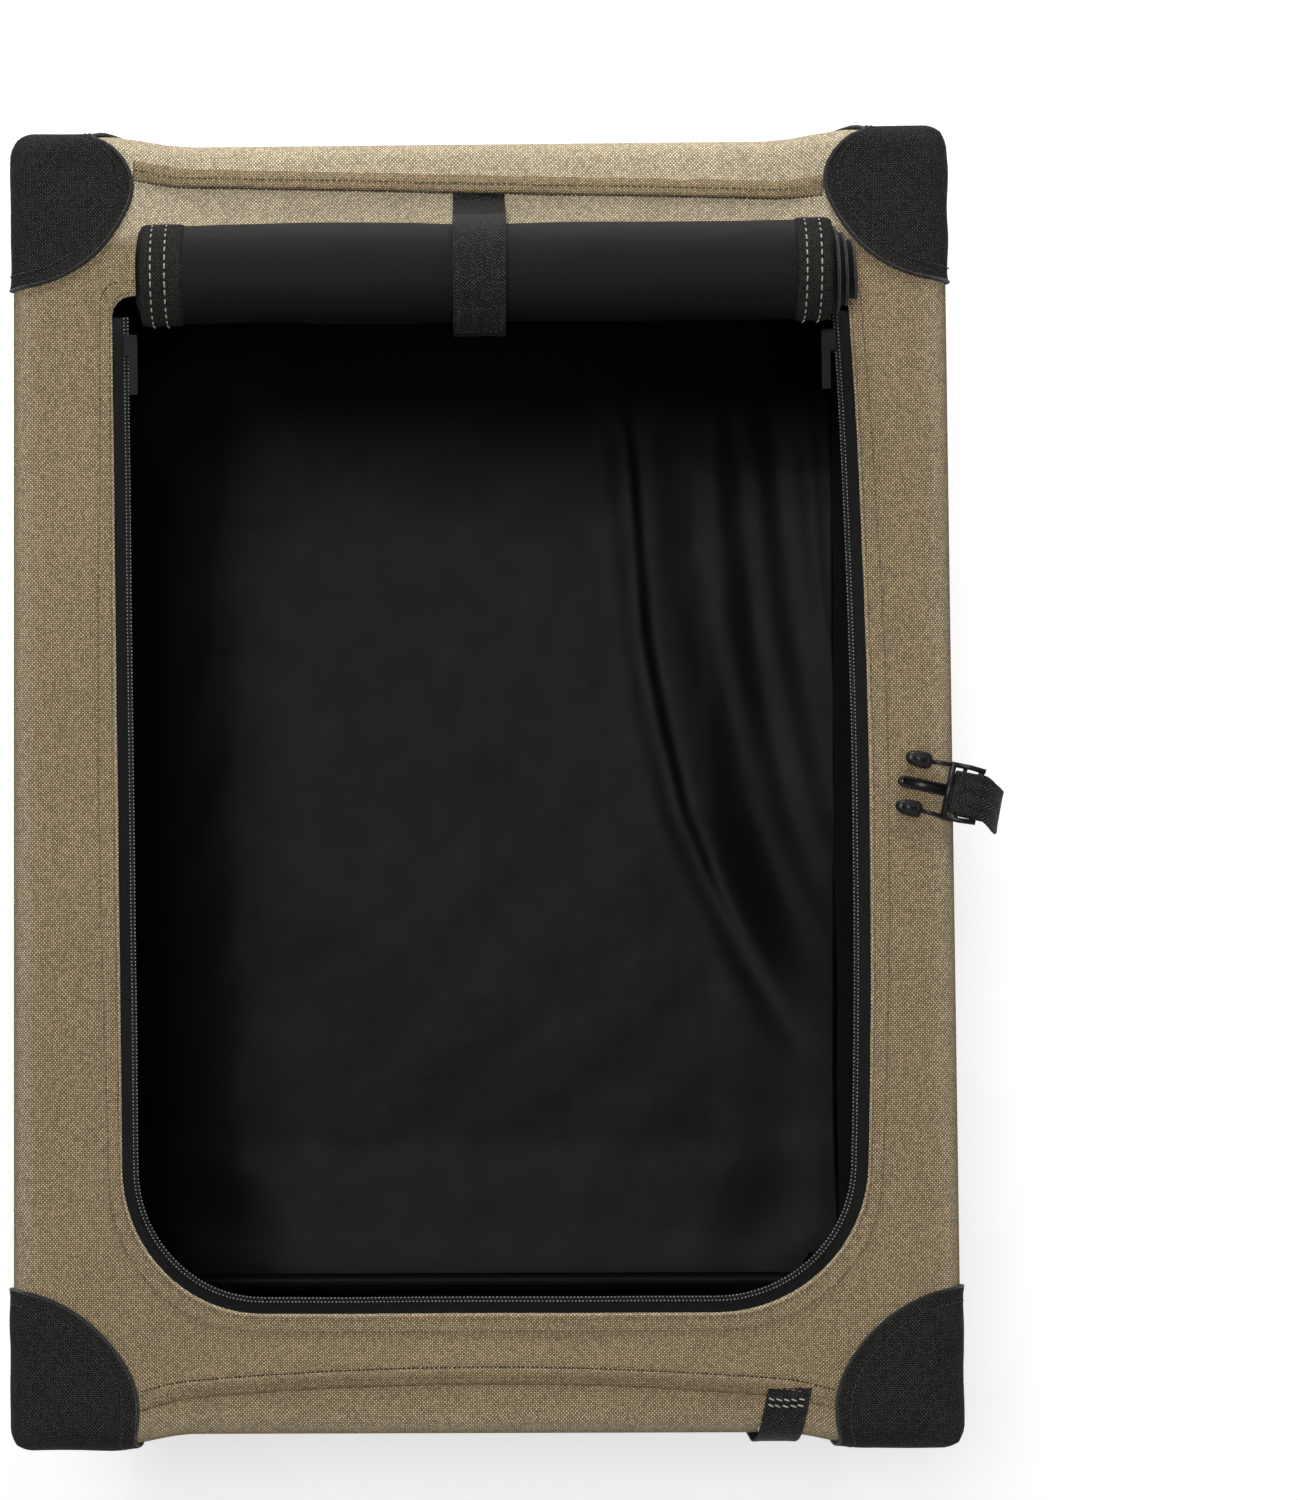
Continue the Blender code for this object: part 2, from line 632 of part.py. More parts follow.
def build_side_wall(sign_x, materials):
    inner = EDGE_R - SKIN_T
    outer_path = [
        *arc((COVER_X - EDGE_R, EDGE_R - COVER_Y), EDGE_R, -90, 0, EDGE_SEGMENTS),
        *arc((COVER_X - EDGE_R, COVER_Y - EDGE_R), EDGE_R, 0, 90, EDGE_SEGMENTS),
    ]
    inner_path = [
        *arc((COVER_X - EDGE_R, COVER_Y - EDGE_R), inner, 90, 0, EDGE_SEGMENTS),
        *arc((COVER_X - EDGE_R, EDGE_R - COVER_Y), inner, 0, -90, EDGE_SEGMENTS),
    ]
    outline = [(sign_x * x, y) for x, y in outer_path + inner_path]
    side = side_name(sign_x)
    wall = plate(f"wall_{side}", [outline], WALL_LOW_Z, WALL_HIGH_Z)
    corners = (-WINDOW_HALF_Y, WINDOW_LOW_Z), (WINDOW_HALF_Y, WINDOW_HIGH_Z)
    window = rounded_outline(*corners, WINDOW_R, WINDOW_R)
    faces = sorted((sign_x * (COVER_X - SKIN_T - CUT_OVERRUN), sign_x * (COVER_X + CUT_OVERRUN)))
    change(wall, plate(f"window_{side}", [window], *faces, ACROSS, cutter=True), "DIFFERENCE")
    finish(wall, materials["tan_cloth"])
    low = (-WINDOW_HALF_Y - MESH_LAP, WINDOW_LOW_Z - MESH_LAP)
    high = (WINDOW_HALF_Y + MESH_LAP, WINDOW_HIGH_Z + MESH_LAP)
    inside = COVER_X - SKIN_T - GAP
    faces = sorted((sign_x * (inside - MESH_T), sign_x * inside))
    net = plate(f"window_mesh_{side}", [rounded_outline(low, high, WINDOW_R, WINDOW_R)], *faces, ACROSS)
    finish(net, materials["window_mesh"])


def build_end_walls(materials):
    half = COVER_X - EDGE_R - GAP
    for sign_y in (-1, 1):
        faces = sorted((sign_y * (COVER_Y - SKIN_T), sign_y * COVER_Y))
        low, high = (-half, faces[0], WALL_LOW_Z), (half, faces[1], WALL_HIGH_Z)
        wall = box(f"wall_{end_name(sign_y)}", low, high)
        if sign_y < 0:
            corners = (-DOOR_HALF_X, DOOR_LOW_Z), (DOOR_HALF_X, DOOR_HIGH_Z)
            doorway = rounded_outline(*corners, DOOR_LOW_R, DOOR_HIGH_R)
            through = (COVER_Y - SKIN_T - CUT_OVERRUN, COVER_Y + CUT_OVERRUN)
            way = plate("front_doorway", [doorway], *through, ALONG, cutter=True)
            change(wall, way, "DIFFERENCE")
        finish(wall, materials["tan_cloth"])
    low = (-DOOR_HALF_X + DOOR_GAP, DOOR_LOW_Z + DOOR_GAP)
    high = (DOOR_HALF_X - DOOR_GAP, DOOR_HIGH_Z - DOOR_GAP)
    outline = rounded_outline(low, high, DOOR_LOW_R - DOOR_GAP, DOOR_HIGH_R)
    door = plate("front_door", [outline], COVER_Y - SKIN_T, COVER_Y, ALONG)
    finish(door, materials["window_mesh"], origin=(0, -COVER_Y, DOOR_HIGH_Z))


def build_caps(material):
    """Eight cloth caps that wrap the corners of the cover."""
    skin_low = (-WIDTH / 2, -LENGTH / 2, 0)
    skin_high = (WIDTH / 2, LENGTH / 2, HEIGHT)
    outer_r = EDGE_R + GAP + CAP_T
    outside = rounded_box("cap_outside", skin_low, skin_high, outer_r, EDGE_SEGMENTS, cutter=True)
    inside = cover_box("cap_inside", -GAP, cutter=True)
    for level, z, sign_z in (("base", 0, -1), ("top", HEIGHT, 1)):
        for sign_x in (-1, 1):
            for sign_y in (-1, 1):
                name = f"{level}_cap_{end_name(sign_y)}_{side_name(sign_x)}"
                corner = Vector((sign_x * WIDTH / 2, sign_y * LENGTH / 2, z))
                inner = corner - Vector((sign_x * CAP_X, sign_y * CAP_Y, sign_z * CAP_Z))
                outer = corner + Vector((sign_x, sign_y, sign_z)) * (CAP_ROUND_R + CUT_OVERRUN)
                low = [min(pair) for pair in zip(inner, outer)]
                high = [max(pair) for pair in zip(inner, outer)]
                cap = rounded_box(name, low, high, CAP_ROUND_R, CAP_SEGMENTS)
                change(cap, outside, "INTERSECT")
                change(cap, inside, "DIFFERENCE")
                finish(cap, material)


def build_zip(materials):
    """Tape round three sides of the door opening, with a slider on each straight run."""
    edge = opening_edge(GAP)
    inner_edge = opening_edge(GAP + ZIP_TAPE_W)
    top = COVER_TOP - (SKIN_T - ZIP_TAPE_T) / 2
    tape = plate("top_zip_tape", [edge + inner_edge[::-1]], top - ZIP_TAPE_T, top)
    finish(tape, materials["zip_tape"])
    for sign_x in (-1, 1):
        build_slider(sign_x, top, materials["plated"])


def opening_edge(inset):
    """The edge of the opening from its rear left corner round the front to its rear right."""
    half, front, radius = OPENING_HALF_X - inset, OPENING_FRONT_Y + inset, OPENING_FRONT_R - inset
    rear = OPENING_REAR_Y - OPENING_REAR_R
    return [
        (-half, rear),
        *arc((radius - half, front + radius), radius, 180, 270),
        *arc((half - radius, front + radius), radius, 270, 360),
        (half, rear),
    ]


def build_slider(sign_x, tape_top, material):
    name = f"zip_slider_{side_name(sign_x)}"
    tape_edge = OPENING_HALF_X - GAP - ZIP_TAPE_W
    middle_z = tape_top - ZIP_TAPE_T / 2
    outer_x = tape_edge + SLIDER_GRIP
    inner_x = outer_x - SLIDER_W
    corners = sorted((sign_x * inner_x, sign_x * outer_x))
    y0, y1 = SLIDER_Y - SLIDER_L / 2, SLIDER_Y + SLIDER_L / 2
    z0, z1 = middle_z - SLIDER_H / 2, middle_z + SLIDER_H / 2
    slider = rounded_box(name, (corners[0], y0, z0), (corners[1], y1, z1), SLIDER_EDGE_R, ROUND_SEGMENTS)
    slot = sorted((sign_x * (tape_edge - RUN_GAP), sign_x * (outer_x + CUT_OVERRUN)))
    slot_low = (slot[0], y0 - CUT_OVERRUN, middle_z - ZIP_TAPE_T / 2 - RUN_GAP)
    slot_high = (slot[1], y1 + CUT_OVERRUN, middle_z + ZIP_TAPE_T / 2 + RUN_GAP)
    change(slider, box(f"{name}_slot", slot_low, slot_high, cutter=True), "DIFFERENCE")
    pull_x = sign_x * (inner_x + PULL_W / 2)
    pull_z = z1 - PULL_T / 2
    pull_low = (pull_x - PULL_W / 2, y0 - PULL_L, pull_z)
    pull_high = (pull_x + PULL_W / 2, y0 + PULL_LAP, pull_z + PULL_T)
    change(slider, box(f"{name}_pull", pull_low, pull_high, cutter=True), "UNION")
    finish(slider, material, origin=(sign_x * tape_edge, SLIDER_Y, middle_z))


def build_roll(material):
    """The door, wound up in a flattened roll that ends at its sewn edge."""
    count = ROLL_TURNS * ROLL_STEPS
    path = []
    for step in range(count + 1):
        share = step / count
        turn = -math.pi / 2 - 2 * math.pi * step / ROLL_STEPS
        half_y = ROLL_CORE_HALF_Y + (ROLL_HALF_Y - ROLL_SHEET_T - ROLL_CORE_HALF_Y) * share
        half_z = ROLL_CORE_HALF_Z + (ROLL_HALF_Z - ROLL_SHEET_T - ROLL_CORE_HALF_Z) * share
        path.append((ROLL_Y + half_y * math.cos(turn), ROLL_Z + half_z * math.sin(turn)))
    path.append((OPENING_REAR_Y + ROLL_TAIL, COVER_TOP + GAP + ROLL_SHEET_T))
    outline = band_outline(path, ROLL_SHEET_T)
    roll = plate("top_door_roll", [outline], ROLL_LEFT_X, ROLL_RIGHT_X, ACROSS)
    finish(roll, material)


def build_roll_strap(material):
    """Webbing from the seam over the roll, which hooks to itself in front."""
    over_y = ROLL_HALF_Y + STRAP_OVER_ROLL
    over_z = ROLL_HALF_Z + STRAP_OVER_ROLL
    seam_z = COVER_TOP + GAP
    arch = []
    for step in range(STRAP_STEPS + 1):
        turn = math.radians(STRAP_ARCH_START_DEG + (180 - STRAP_ARCH_START_DEG) * step / STRAP_STEPS)
        arch.append((ROLL_Y + over_y * math.cos(turn), ROLL_Z + over_z * math.sin(turn)))
    end = (ROLL_Y - over_y - STRAP_FLARE, ROLL_Z - STRAP_PAST_MIDDLE)
    path = [(STRAP_SEAM_Y, seam_z), (STRAP_SEAM_Y - STRAP_FLAT, seam_z), *arch, end]
    outline = band_outline(path[::-1], WEB_T)
    strap = plate("roll_strap", [outline], -WIDE_WEB_W / 2, WIDE_WEB_W / 2, ACROSS)
    finish(strap, material, origin=(0, STRAP_SEAM_Y, seam_z + WEB_T))


def build_front_tab(material):
    """A short webbing tab sewn on the front edge, which hangs down over it."""
    over = EDGE_R + GAP
    corner = (EDGE_R - COVER_Y, COVER_TOP - EDGE_R)
    start = (EDGE_R - COVER_Y + TAB_ON_TOP, COVER_TOP + GAP)
    hang = (-COVER_Y - GAP, corner[1] - TAB_HANG)
    path = [start, *arc(corner, over, 90, 180, EDGE_SEGMENTS), hang]
    outline = band_outline(path[::-1], WEB_T)
    tab = plate("front_tab", [outline], TAB_X - WEB_W / 2, TAB_X + WEB_W / 2, ACROSS)
    finish(tab, material, origin=(TAB_X, start[0], start[1] + WEB_T))


def buckle_frame():
    """Turns and moves a shape drawn along the buckle's own axis to its place on the crate."""
    place = Vector((BUCKLE_TIP_X, 0, 0))
    return Matrix.Translation(place) @ Matrix.Rotation(-math.radians(BUCKLE_TURN_DEG), 4, "Z")


def build_male_buckle(materials):
    """Three prongs that point inward over the top, and the bar that holds the webbing."""
    half_base = BUCKLE_BASE_W / 2
    inside = BUCKLE_HALF_W - BUCKLE_HEAD_W
    arm_in = BUCKLE_HALF_W - BUCKLE_HEAD_W / 2 - BUCKLE_ARM_W
    arm_out = arm_in + BUCKLE_ARM_W
    tip, neck = 0, BUCKLE_HEAD_L
    root = BUCKLE_PRONG_L
    guide = BUCKLE_GUIDE_W / 2
    end = BUCKLE_PRONG_L + BUCKLE_BASE_L
    half = [
        (tip, BUCKLE_GUIDE_TIP_W / 2),
        (tip + guide, guide),
        (root, guide),
        (root, arm_in),
        (neck, arm_in),
        (neck / 2, inside),
        (tip, inside + BUCKLE_HEAD_W / 4),
        (tip, inside + BUCKLE_HEAD_W / 2),
        (neck, BUCKLE_HALF_W),
        (neck, arm_out),
        (root, arm_out),
        (root, half_base),
        (end, half_base),
    ]
    outline = half + [(x, -y) for x, y in reversed(half)]
    low = COVER_TOP + GAP
    middle = low + BUCKLE_BASE_T / 2
    faces = (middle - BUCKLE_PRONG_T / 2, middle + BUCKLE_PRONG_T / 2)
    buckle = plate("buckle_male", [outline], *faces)
    base_low, base_high = (root, -half_base, low), (end, half_base, low + BUCKLE_BASE_T)
    base = rounded_box("buckle_male_base", base_low, base_high, BUCKLE_EDGE_R, ROUND_SEGMENTS, cutter=True)
    window_low = (end - BAR_WINDOW_L, -WEB_W / 2 - RUN_GAP, low - CUT_OVERRUN)
    window_high = (end + CUT_OVERRUN, WEB_W / 2 + RUN_GAP, middle + CUT_OVERRUN)
    window = box("buckle_male_window", window_low, window_high, cutter=True)
    bar_x = end - BAR_INSET
    bar_half = (WEB_W / 2 + half_base) / 2
    bar_ends = (bar_x, -bar_half, middle), (bar_x, bar_half, middle)
    bar = rod("buckle_male_bar", *bar_ends, BAR_R, BAR_SIDES, cutter=True)
    for cutter in (base, window, bar):
        cutter.matrix_world = buckle_frame() @ Matrix.Translation(cutter.location)
    buckle.data.transform(buckle_frame())
    change(buckle, base, "UNION")
    change(buckle, window, "DIFFERENCE")
    change(buckle, bar, "UNION")
    finish(buckle, materials["plastic"], origin=buckle_frame() @ Vector((bar_x, 0, middle)))


def build_buckle_strap(material):
    """Webbing sewn below the side edge, which stands off and loops round the buckle's bar."""
    bar = (BUCKLE_PRONG_L + BUCKLE_BASE_L - BAR_INSET, COVER_TOP + GAP + BUCKLE_BASE_T / 2)
    slant = math.cos(math.radians(BUCKLE_TURN_DEG))
    wall = (COVER_X + GAP - BUCKLE_TIP_X) / slant
    far = (COVER_X + STRAP_STAND_OFF - BUCKLE_TIP_X) / slant
    eye, radius = BAR_R + RUN_GAP, STRAP_LOOP_R
    path = [
        *arc(bar, eye, LOOP_START_DEG, 90),
        *arc((far - radius, bar[1] + eye - radius), radius, 90, 0, EDGE_SEGMENTS),
        *arc((far - radius, STRAP_ROOT_Z + radius), radius, 0, -LOOP_LOW_DEG, EDGE_SEGMENTS),
        (wall, STRAP_ROOT_Z),
        (wall, STRAP_ROOT_Z - STRAP_ROOT_L),
    ]
    outline = band_outline(path, WEB_T)
    strap = plate("buckle_strap_right", [outline], -WEB_W / 2, WEB_W / 2, ALONG)
    turned = buckle_frame()
    twist_top = bar[1] - eye - WEB_T
    for vert in strap.data.vertices:
        beside_bar = turned @ vert.co
        on_axis = turned @ Vector((vert.co.x, 0, vert.co.z))
        beside_wall = on_axis + Vector((0, vert.co.y, 0))
        share = (twist_top - vert.co.z) / (twist_top - STRAP_ROOT_Z)
        vert.co = beside_bar.lerp(beside_wall, min(max(share, 0.0), 1.0))
    finish(strap, material, origin=(COVER_X + GAP + WEB_T, 0, STRAP_ROOT_Z - STRAP_ROOT_L))


def build_female_buckle(materials):
    """The socket half, on a short strap low on the right side, beside the prong half once the crate is folded."""
    outer_x = COVER_X + GAP
    buckle_top = FEMALE_ROOT_Z - FEMALE_STRAP_DROP
    low = (outer_x, FEMALE_ROOT_Y - FEMALE_W / 2, buckle_top - FEMALE_L)
    high = (outer_x + FEMALE_T, FEMALE_ROOT_Y + FEMALE_W / 2, buckle_top)
    buckle = rounded_box("buckle_female", low, high, FEMALE_EDGE_R, ROUND_SEGMENTS)
    cavity_low = (low[0] + FEMALE_WALL, low[1] + FEMALE_WALL, low[2] - CUT_OVERRUN)
    cavity_high = (high[0] - FEMALE_WALL, high[1] - FEMALE_WALL, low[2] + FEMALE_DEPTH)
    change(buckle, box("buckle_female_cavity", cavity_low, cavity_high, cutter=True), "DIFFERENCE")
    window_z = (low[2] + FEMALE_WINDOW_LOW, low[2] + FEMALE_WINDOW_HIGH)
    middle_x = (low[0] + high[0]) / 2
    window_low = (middle_x - BUCKLE_PRONG_T / 2, low[1] - CUT_OVERRUN, window_z[0])
    window_high = (middle_x + BUCKLE_PRONG_T / 2, high[1] + CUT_OVERRUN, window_z[1])
    change(buckle, box("buckle_female_windows", window_low, window_high, cutter=True), "DIFFERENCE")
    slot_x = (low[0] + FEMALE_WALL / 2, low[0] + FEMALE_WALL / 2 + WEB_T + 2 * RUN_GAP)
    slot_half = WEB_W / 2 + RUN_GAP
    slot_low = (slot_x[0], FEMALE_ROOT_Y - slot_half, buckle_top - FEMALE_SLOT_INSET - GAP)
    slot_high = (slot_x[1], FEMALE_ROOT_Y + slot_half, buckle_top + CUT_OVERRUN)
    change(buckle, box("buckle_female_slot", slot_low, slot_high, cutter=True), "DIFFERENCE")
    pivot = (outer_x, FEMALE_ROOT_Y, FEMALE_ROOT_Z)
    finish(buckle, materials["plastic"], origin=pivot)
    strap_x = slot_x[0] + RUN_GAP
    path = [
        (outer_x, FEMALE_ROOT_Z),
        (outer_x, FEMALE_ROOT_Z - FEMALE_STRAP_DROP / 2),
        (strap_x, buckle_top),
        (strap_x, buckle_top - FEMALE_SLOT_INSET + GAP),
    ]
    outline = band_outline(path, WEB_T)
    strap = plate("buckle_strap_low", [outline], -FEMALE_ROOT_Y - WEB_W / 2, WEB_W / 2 - FEMALE_ROOT_Y, ALONG)
    finish(strap, materials["webbing"], origin=pivot)


def fold_height(x, y):
    """How far the tension folds lift the floor lining at a point."""
    height = 0.0
    here = Vector((x, y))
    for start_share, end_share, strength in LINER_FOLD_shares:
        start = Vector((start_share[0] * LINER_FLOOR_X, start_share[1] * LINER_FLOOR_Y))
        end = Vector((end_share[0] * LINER_FLOOR_X, end_share[1] * LINER_FLOOR_Y))
        along = end - start
        share = max(0.0, min(1.0, (here - start).dot(along) / along.length_squared))
        away = (here - start - along * share).length
        taper = math.sin(math.pi * (FOLD_END_share + (1 - 2 * FOLD_END_share) * share))
        height += FOLD_H * strength * taper * math.exp(-((away / (FOLD_W / 2)) ** 2))
    return height


def liner_lines(floor_half, rail, edge, count):
    """Places of the grid lines: even over the floor, then up and over the rail to the edge."""
    inner = [-floor_half + 2 * floor_half * step / count for step in range(count + 1)]
    outer = [floor_half + LINER_RISE, rail, edge]
    return [-place for place in reversed(outer)] + inner + outer


def build_liner(material):
    """The loose black lining on the floor, with its main folds and its rise over the rails."""
    lines_x = liner_lines(LINER_FLOOR_X, RAIL_X, COVER_X - SKIN_T - GAP, LINER_COLUMNS)
    lines_y = liner_lines(LINER_FLOOR_Y, RAIL_Y, COVER_Y - SKIN_T - GAP, LINER_ROWS)
    mesh = bpy.data.meshes.new("floor_liner")
    shape = bmesh.new()
    bmesh.ops.create_grid(shape, x_segments=len(lines_x) - 1, y_segments=len(lines_y) - 1, size=1)
    for vert in shape.verts:
        x = lines_x[round((vert.co.x + 1) / 2 * (len(lines_x) - 1))]
        y = lines_y[round((vert.co.y + 1) / 2 * (len(lines_y) - 1))]
        on_floor = abs(x) < LINER_FLOOR_X + GAP and abs(y) < LINER_FLOOR_Y + GAP
        vert.co = (x, y, LINER_FLOOR_Z + fold_height(x, y) if on_floor else LINER_RAIL_Z)
    corner_x = RAIL_X - ELBOW_ARM - GAP
    corner_y = RAIL_Y - ELBOW_ARM - GAP
    in_corner = []
    for face in shape.faces:
        far_x = max(abs(vert.co.x) for vert in face.verts)
        far_y = max(abs(vert.co.y) for vert in face.verts)
        if far_x > corner_x and far_y > corner_y:
            in_corner.append(face)
    bmesh.ops.delete(shape, geom=in_corner, context="FACES")
    shape.to_mesh(mesh)
    shape.free()
    liner = keep_object("floor_liner", mesh)
    thicken = liner.modifiers.new("thickness", "SOLIDIFY")
    thicken.thickness = LINER_T
    thicken.offset = -1
    finish(liner, material)


def main():
    clear_scene()
    materials = make_materials()
    build_frame("base", BASE_RAIL_Z, materials)
    build_frame("top", TOP_RAIL_Z, materials)
    build_posts(materials)
    build_pins(materials)
    build_cover(materials)
    build_caps(materials["black_cloth"])
    build_liner(materials["lining"])
    build_zip(materials)
    build_roll(materials["black_cloth"])
    build_roll_strap(materials["webbing"])
    build_front_tab(materials["webbing"])
    build_male_buckle(materials)
    build_buckle_strap(materials["webbing"])
    build_female_buckle(materials)


main()
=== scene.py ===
"""Dresses the soft folding dog crate: cloth cover, corner caps, zip, rolled door, webbing and lining."""
import math

import bpy
import numpy as np
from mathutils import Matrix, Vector


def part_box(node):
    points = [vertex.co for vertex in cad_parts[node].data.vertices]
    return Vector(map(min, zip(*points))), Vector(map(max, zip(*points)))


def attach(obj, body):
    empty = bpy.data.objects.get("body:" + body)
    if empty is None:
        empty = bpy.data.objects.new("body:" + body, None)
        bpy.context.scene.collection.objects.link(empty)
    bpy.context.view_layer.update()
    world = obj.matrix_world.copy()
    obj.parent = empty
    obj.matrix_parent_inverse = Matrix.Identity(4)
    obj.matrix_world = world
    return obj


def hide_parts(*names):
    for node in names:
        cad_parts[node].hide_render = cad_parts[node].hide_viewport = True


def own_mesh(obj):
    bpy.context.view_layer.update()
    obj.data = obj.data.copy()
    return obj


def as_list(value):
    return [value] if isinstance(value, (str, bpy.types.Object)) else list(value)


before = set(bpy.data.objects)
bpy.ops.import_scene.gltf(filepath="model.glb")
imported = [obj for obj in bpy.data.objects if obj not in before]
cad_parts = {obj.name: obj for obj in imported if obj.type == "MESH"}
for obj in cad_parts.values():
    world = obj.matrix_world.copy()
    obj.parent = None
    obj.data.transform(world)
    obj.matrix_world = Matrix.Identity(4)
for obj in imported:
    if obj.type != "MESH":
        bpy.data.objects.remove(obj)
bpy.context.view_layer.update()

# The crate's sizes, in metres, as its solids have them
COVER_X, COVER_Y, COVER_TOP, COVER_LOW = .2712, .3792, .5312, .0018
EDGE_R = .0126
RAIL_X, RAIL_Y = COVER_X - EDGE_R, COVER_Y - EDGE_R
LID_LOW, TRAY_HIGH = .4992, .0338
ELBOW_END_X = .2166
BOW_FRONT, BOW_REAR = .0075, .0066
RAIL_BOW_FRONT, RAIL_BOW_REAR = .0062, .0055
OPEN_HALF_X, OPEN_FRONT, OPEN_REAR = .212, -.302, .2835
OPEN_FRONT_R, OPEN_REAR_R = .082, .012
ROLL_Y, ROLL_Z = .2885, .5583
CENTRE = np.array((0, 0, .2665))
CLOTH_T = .001
ARC_LENGTH = EDGE_R * math.pi / 2
WALL_LOW, WALL_HIGH = .0341, .4989
# What the walls keep of their height when the crate is fully folded
SQUASH_KEEP = .069
# Webbing's thickness, and how far it lies off the cover
WEB_T, WEB_GAP = .0016, .0003
X_WAY, Y_WAY, Z_WAY = np.eye(3)
rng = np.random.default_rng(11)


# ---------- small tools ----------

def smooth(value):
    """0 below 0, 1 above 1, and an even curve between."""
    t = np.clip(value, 0, 1)
    return t * t * (3 - 2 * t)


def waves(count, low, high):
    """Random waves with lengths between low and high, for soft unevenness."""
    turn = rng.uniform(0, 2 * math.pi, count)
    k = 2 * math.pi / rng.uniform(low, high, count)
    return np.stack([k * np.cos(turn), k * np.sin(turn), rng.uniform(0, 2 * math.pi, count)], 1)


def ripple(x, y, table):
    total = 0
    for kx, ky, phase in table:
        total = total + np.sin(kx * x + ky * y + phase)
    return total / math.sqrt(len(table))


def unit(vectors):
    return vectors / np.maximum(np.linalg.norm(vectors, axis=-1, keepdims=True), 1e-12)


def arc(cx, cy, r, start, end, steps):
    turn = np.radians(np.linspace(start, end, steps + 1))
    return np.stack([cx + r * np.cos(turn), cy + r * np.sin(turn)], 1)


def line(a, b, steps):
    t = np.linspace(0, 1, steps + 1)[:, None]
    return np.array(a) * (1 - t) + np.array(b) * t


def chain(*parts):
    """Joins point runs, dropping each run's last point where the next begins."""
    return np.concatenate([part[:-1] for part in parts[:-1]] + [parts[-1]])


def run_along(points):
    """How far along a path each of its points is."""
    return np.concatenate([[0], np.cumsum(np.linalg.norm(np.diff(points, axis=0), axis=1))])


def at_run(spots, lengths, table):
    """The rows that a table has at some distances along its path."""
    return np.stack([np.interp(spots, lengths, column) for column in np.asarray(table).T], 1)


def closed_run(points):
    return np.vstack([points, points[:1]])


def grid(across, along):
    return np.meshgrid(across, along, indexing="ij")


def quads_of(rows):
    """Four-sided faces between the neighbours in a grid of vertex numbers."""
    return np.stack([rows[:-1, :-1], rows[1:, :-1], rows[1:, 1:], rows[:-1, 1:]], -1).reshape(-1, 4)


def resample(points, step, closed=False):
    """The same path or loop with points at even distances."""
    points = np.asarray(points, float)
    if closed:
        points = closed_run(points)
    lengths = run_along(points)
    count = max(2, int(round(lengths[-1] / step)))
    at = np.linspace(0, lengths[-1], count + 1)
    if closed:
        at = at[:-1]
    return at_run(at, lengths, points)


def raw_mesh(name, verts, faces):
    """A mesh from vertex rows and a list of face arrays, each with one count of corners."""
    mesh = bpy.data.meshes.new(name)
    verts = np.asarray(verts, float).reshape(-1, 3)
    loops = np.concatenate([f.reshape(-1) for f in faces])
    totals = np.concatenate([np.full(len(f), f.shape[1]) for f in faces])
    starts = np.concatenate([[0], np.cumsum(totals)[:-1]])
    mesh.vertices.add(len(verts))
    mesh.vertices.foreach_set("co", verts.ravel())
    mesh.loops.add(len(loops))
    mesh.loops.foreach_set("vertex_index", loops.astype(np.int32))
    mesh.polygons.add(len(totals))
    mesh.polygons.foreach_set("loop_start", starts.astype(np.int32))
    mesh.polygons.foreach_set("loop_total", totals.astype(np.int32))
    mesh.update(calc_edges=True)
    mesh.validate()
    mesh.shade_smooth()
    return mesh


def add_object(name, mesh, *materials):
    obj = bpy.data.objects.new(name, mesh)
    bpy.context.scene.collection.objects.link(obj)
    for material in materials:
        mesh.materials.append(material)
    return obj


def skin(name, points, flat, *materials, closed=False, thickness=CLOTH_T, inward=False, wear_and_light=None, centre=CENTRE,
         pole=None):
    """A cloth surface from a grid of points, with its flat coordinates in metres kept for the weave."""
    nu, nv = points.shape[:2]
    index = np.arange(nu * nv).reshape(nu, nv)
    if closed:
        index = np.vstack([index, index[:1]])
    quads = quads_of(index)
    verts = points.reshape(-1, 3)
    uv = flat.reshape(-1, 2)
    faces = [quads]
    if pole is not None:
        verts, uv = np.vstack([verts, pole[0]]), np.vstack([uv, pole[1]])
        ring = index[:, 0]
        faces.append(np.stack([np.full_like(ring[1:], len(verts) - 1), ring[1:], ring[:-1]], -1))
    corners = verts[quads]
    normal = np.cross(corners[:, 2] - corners[:, 0], corners[:, 3] - corners[:, 1])
    facing = ((corners.mean(1) - centre) * normal).sum()
    if (facing < 0) != inward:
        faces = [f[:, ::-1] for f in faces]
    mesh = raw_mesh(name, verts, faces)
    layer = mesh.uv_layers.new(name="cloth")
    order = np.empty(len(mesh.loops), np.int32)
    mesh.loops.foreach_get("vertex_index", order)
    layer.data.foreach_set("uv", uv[order].astype(np.float32).ravel())
    if wear_and_light is not None:
        worn_and_lit = mesh.attributes.new("wear_and_light", "FLOAT", "POINT")
        values = np.append(wear_and_light.reshape(-1), [0] * (len(verts) - wear_and_light.size))
        worn_and_lit.data.foreach_set("value", values.astype(np.float32))
    obj = add_object(name, mesh, *materials)
    if thickness:
        thick = obj.modifiers.new("thickness", "SOLIDIFY")
        thick.thickness, thick.offset, thick.use_even_offset = thickness, -1, False
        thick.material_offset = len(materials) - 1
    return obj


def on(place, flat, lift=0.0):
    """Points on a mapped surface, lifted off it, and its outward normals there."""
    du, dv = np.eye(2) * .0006
    normal = unit(np.cross(place(flat + du) - place(flat - du), place(flat + dv) - place(flat - dv)))
    middle = place(flat)
    sign = np.sign(((middle - CENTRE) * normal).sum(-1, keepdims=True))
    normal = normal * np.where(sign == 0, 1, sign)
    return middle + normal * lift, normal


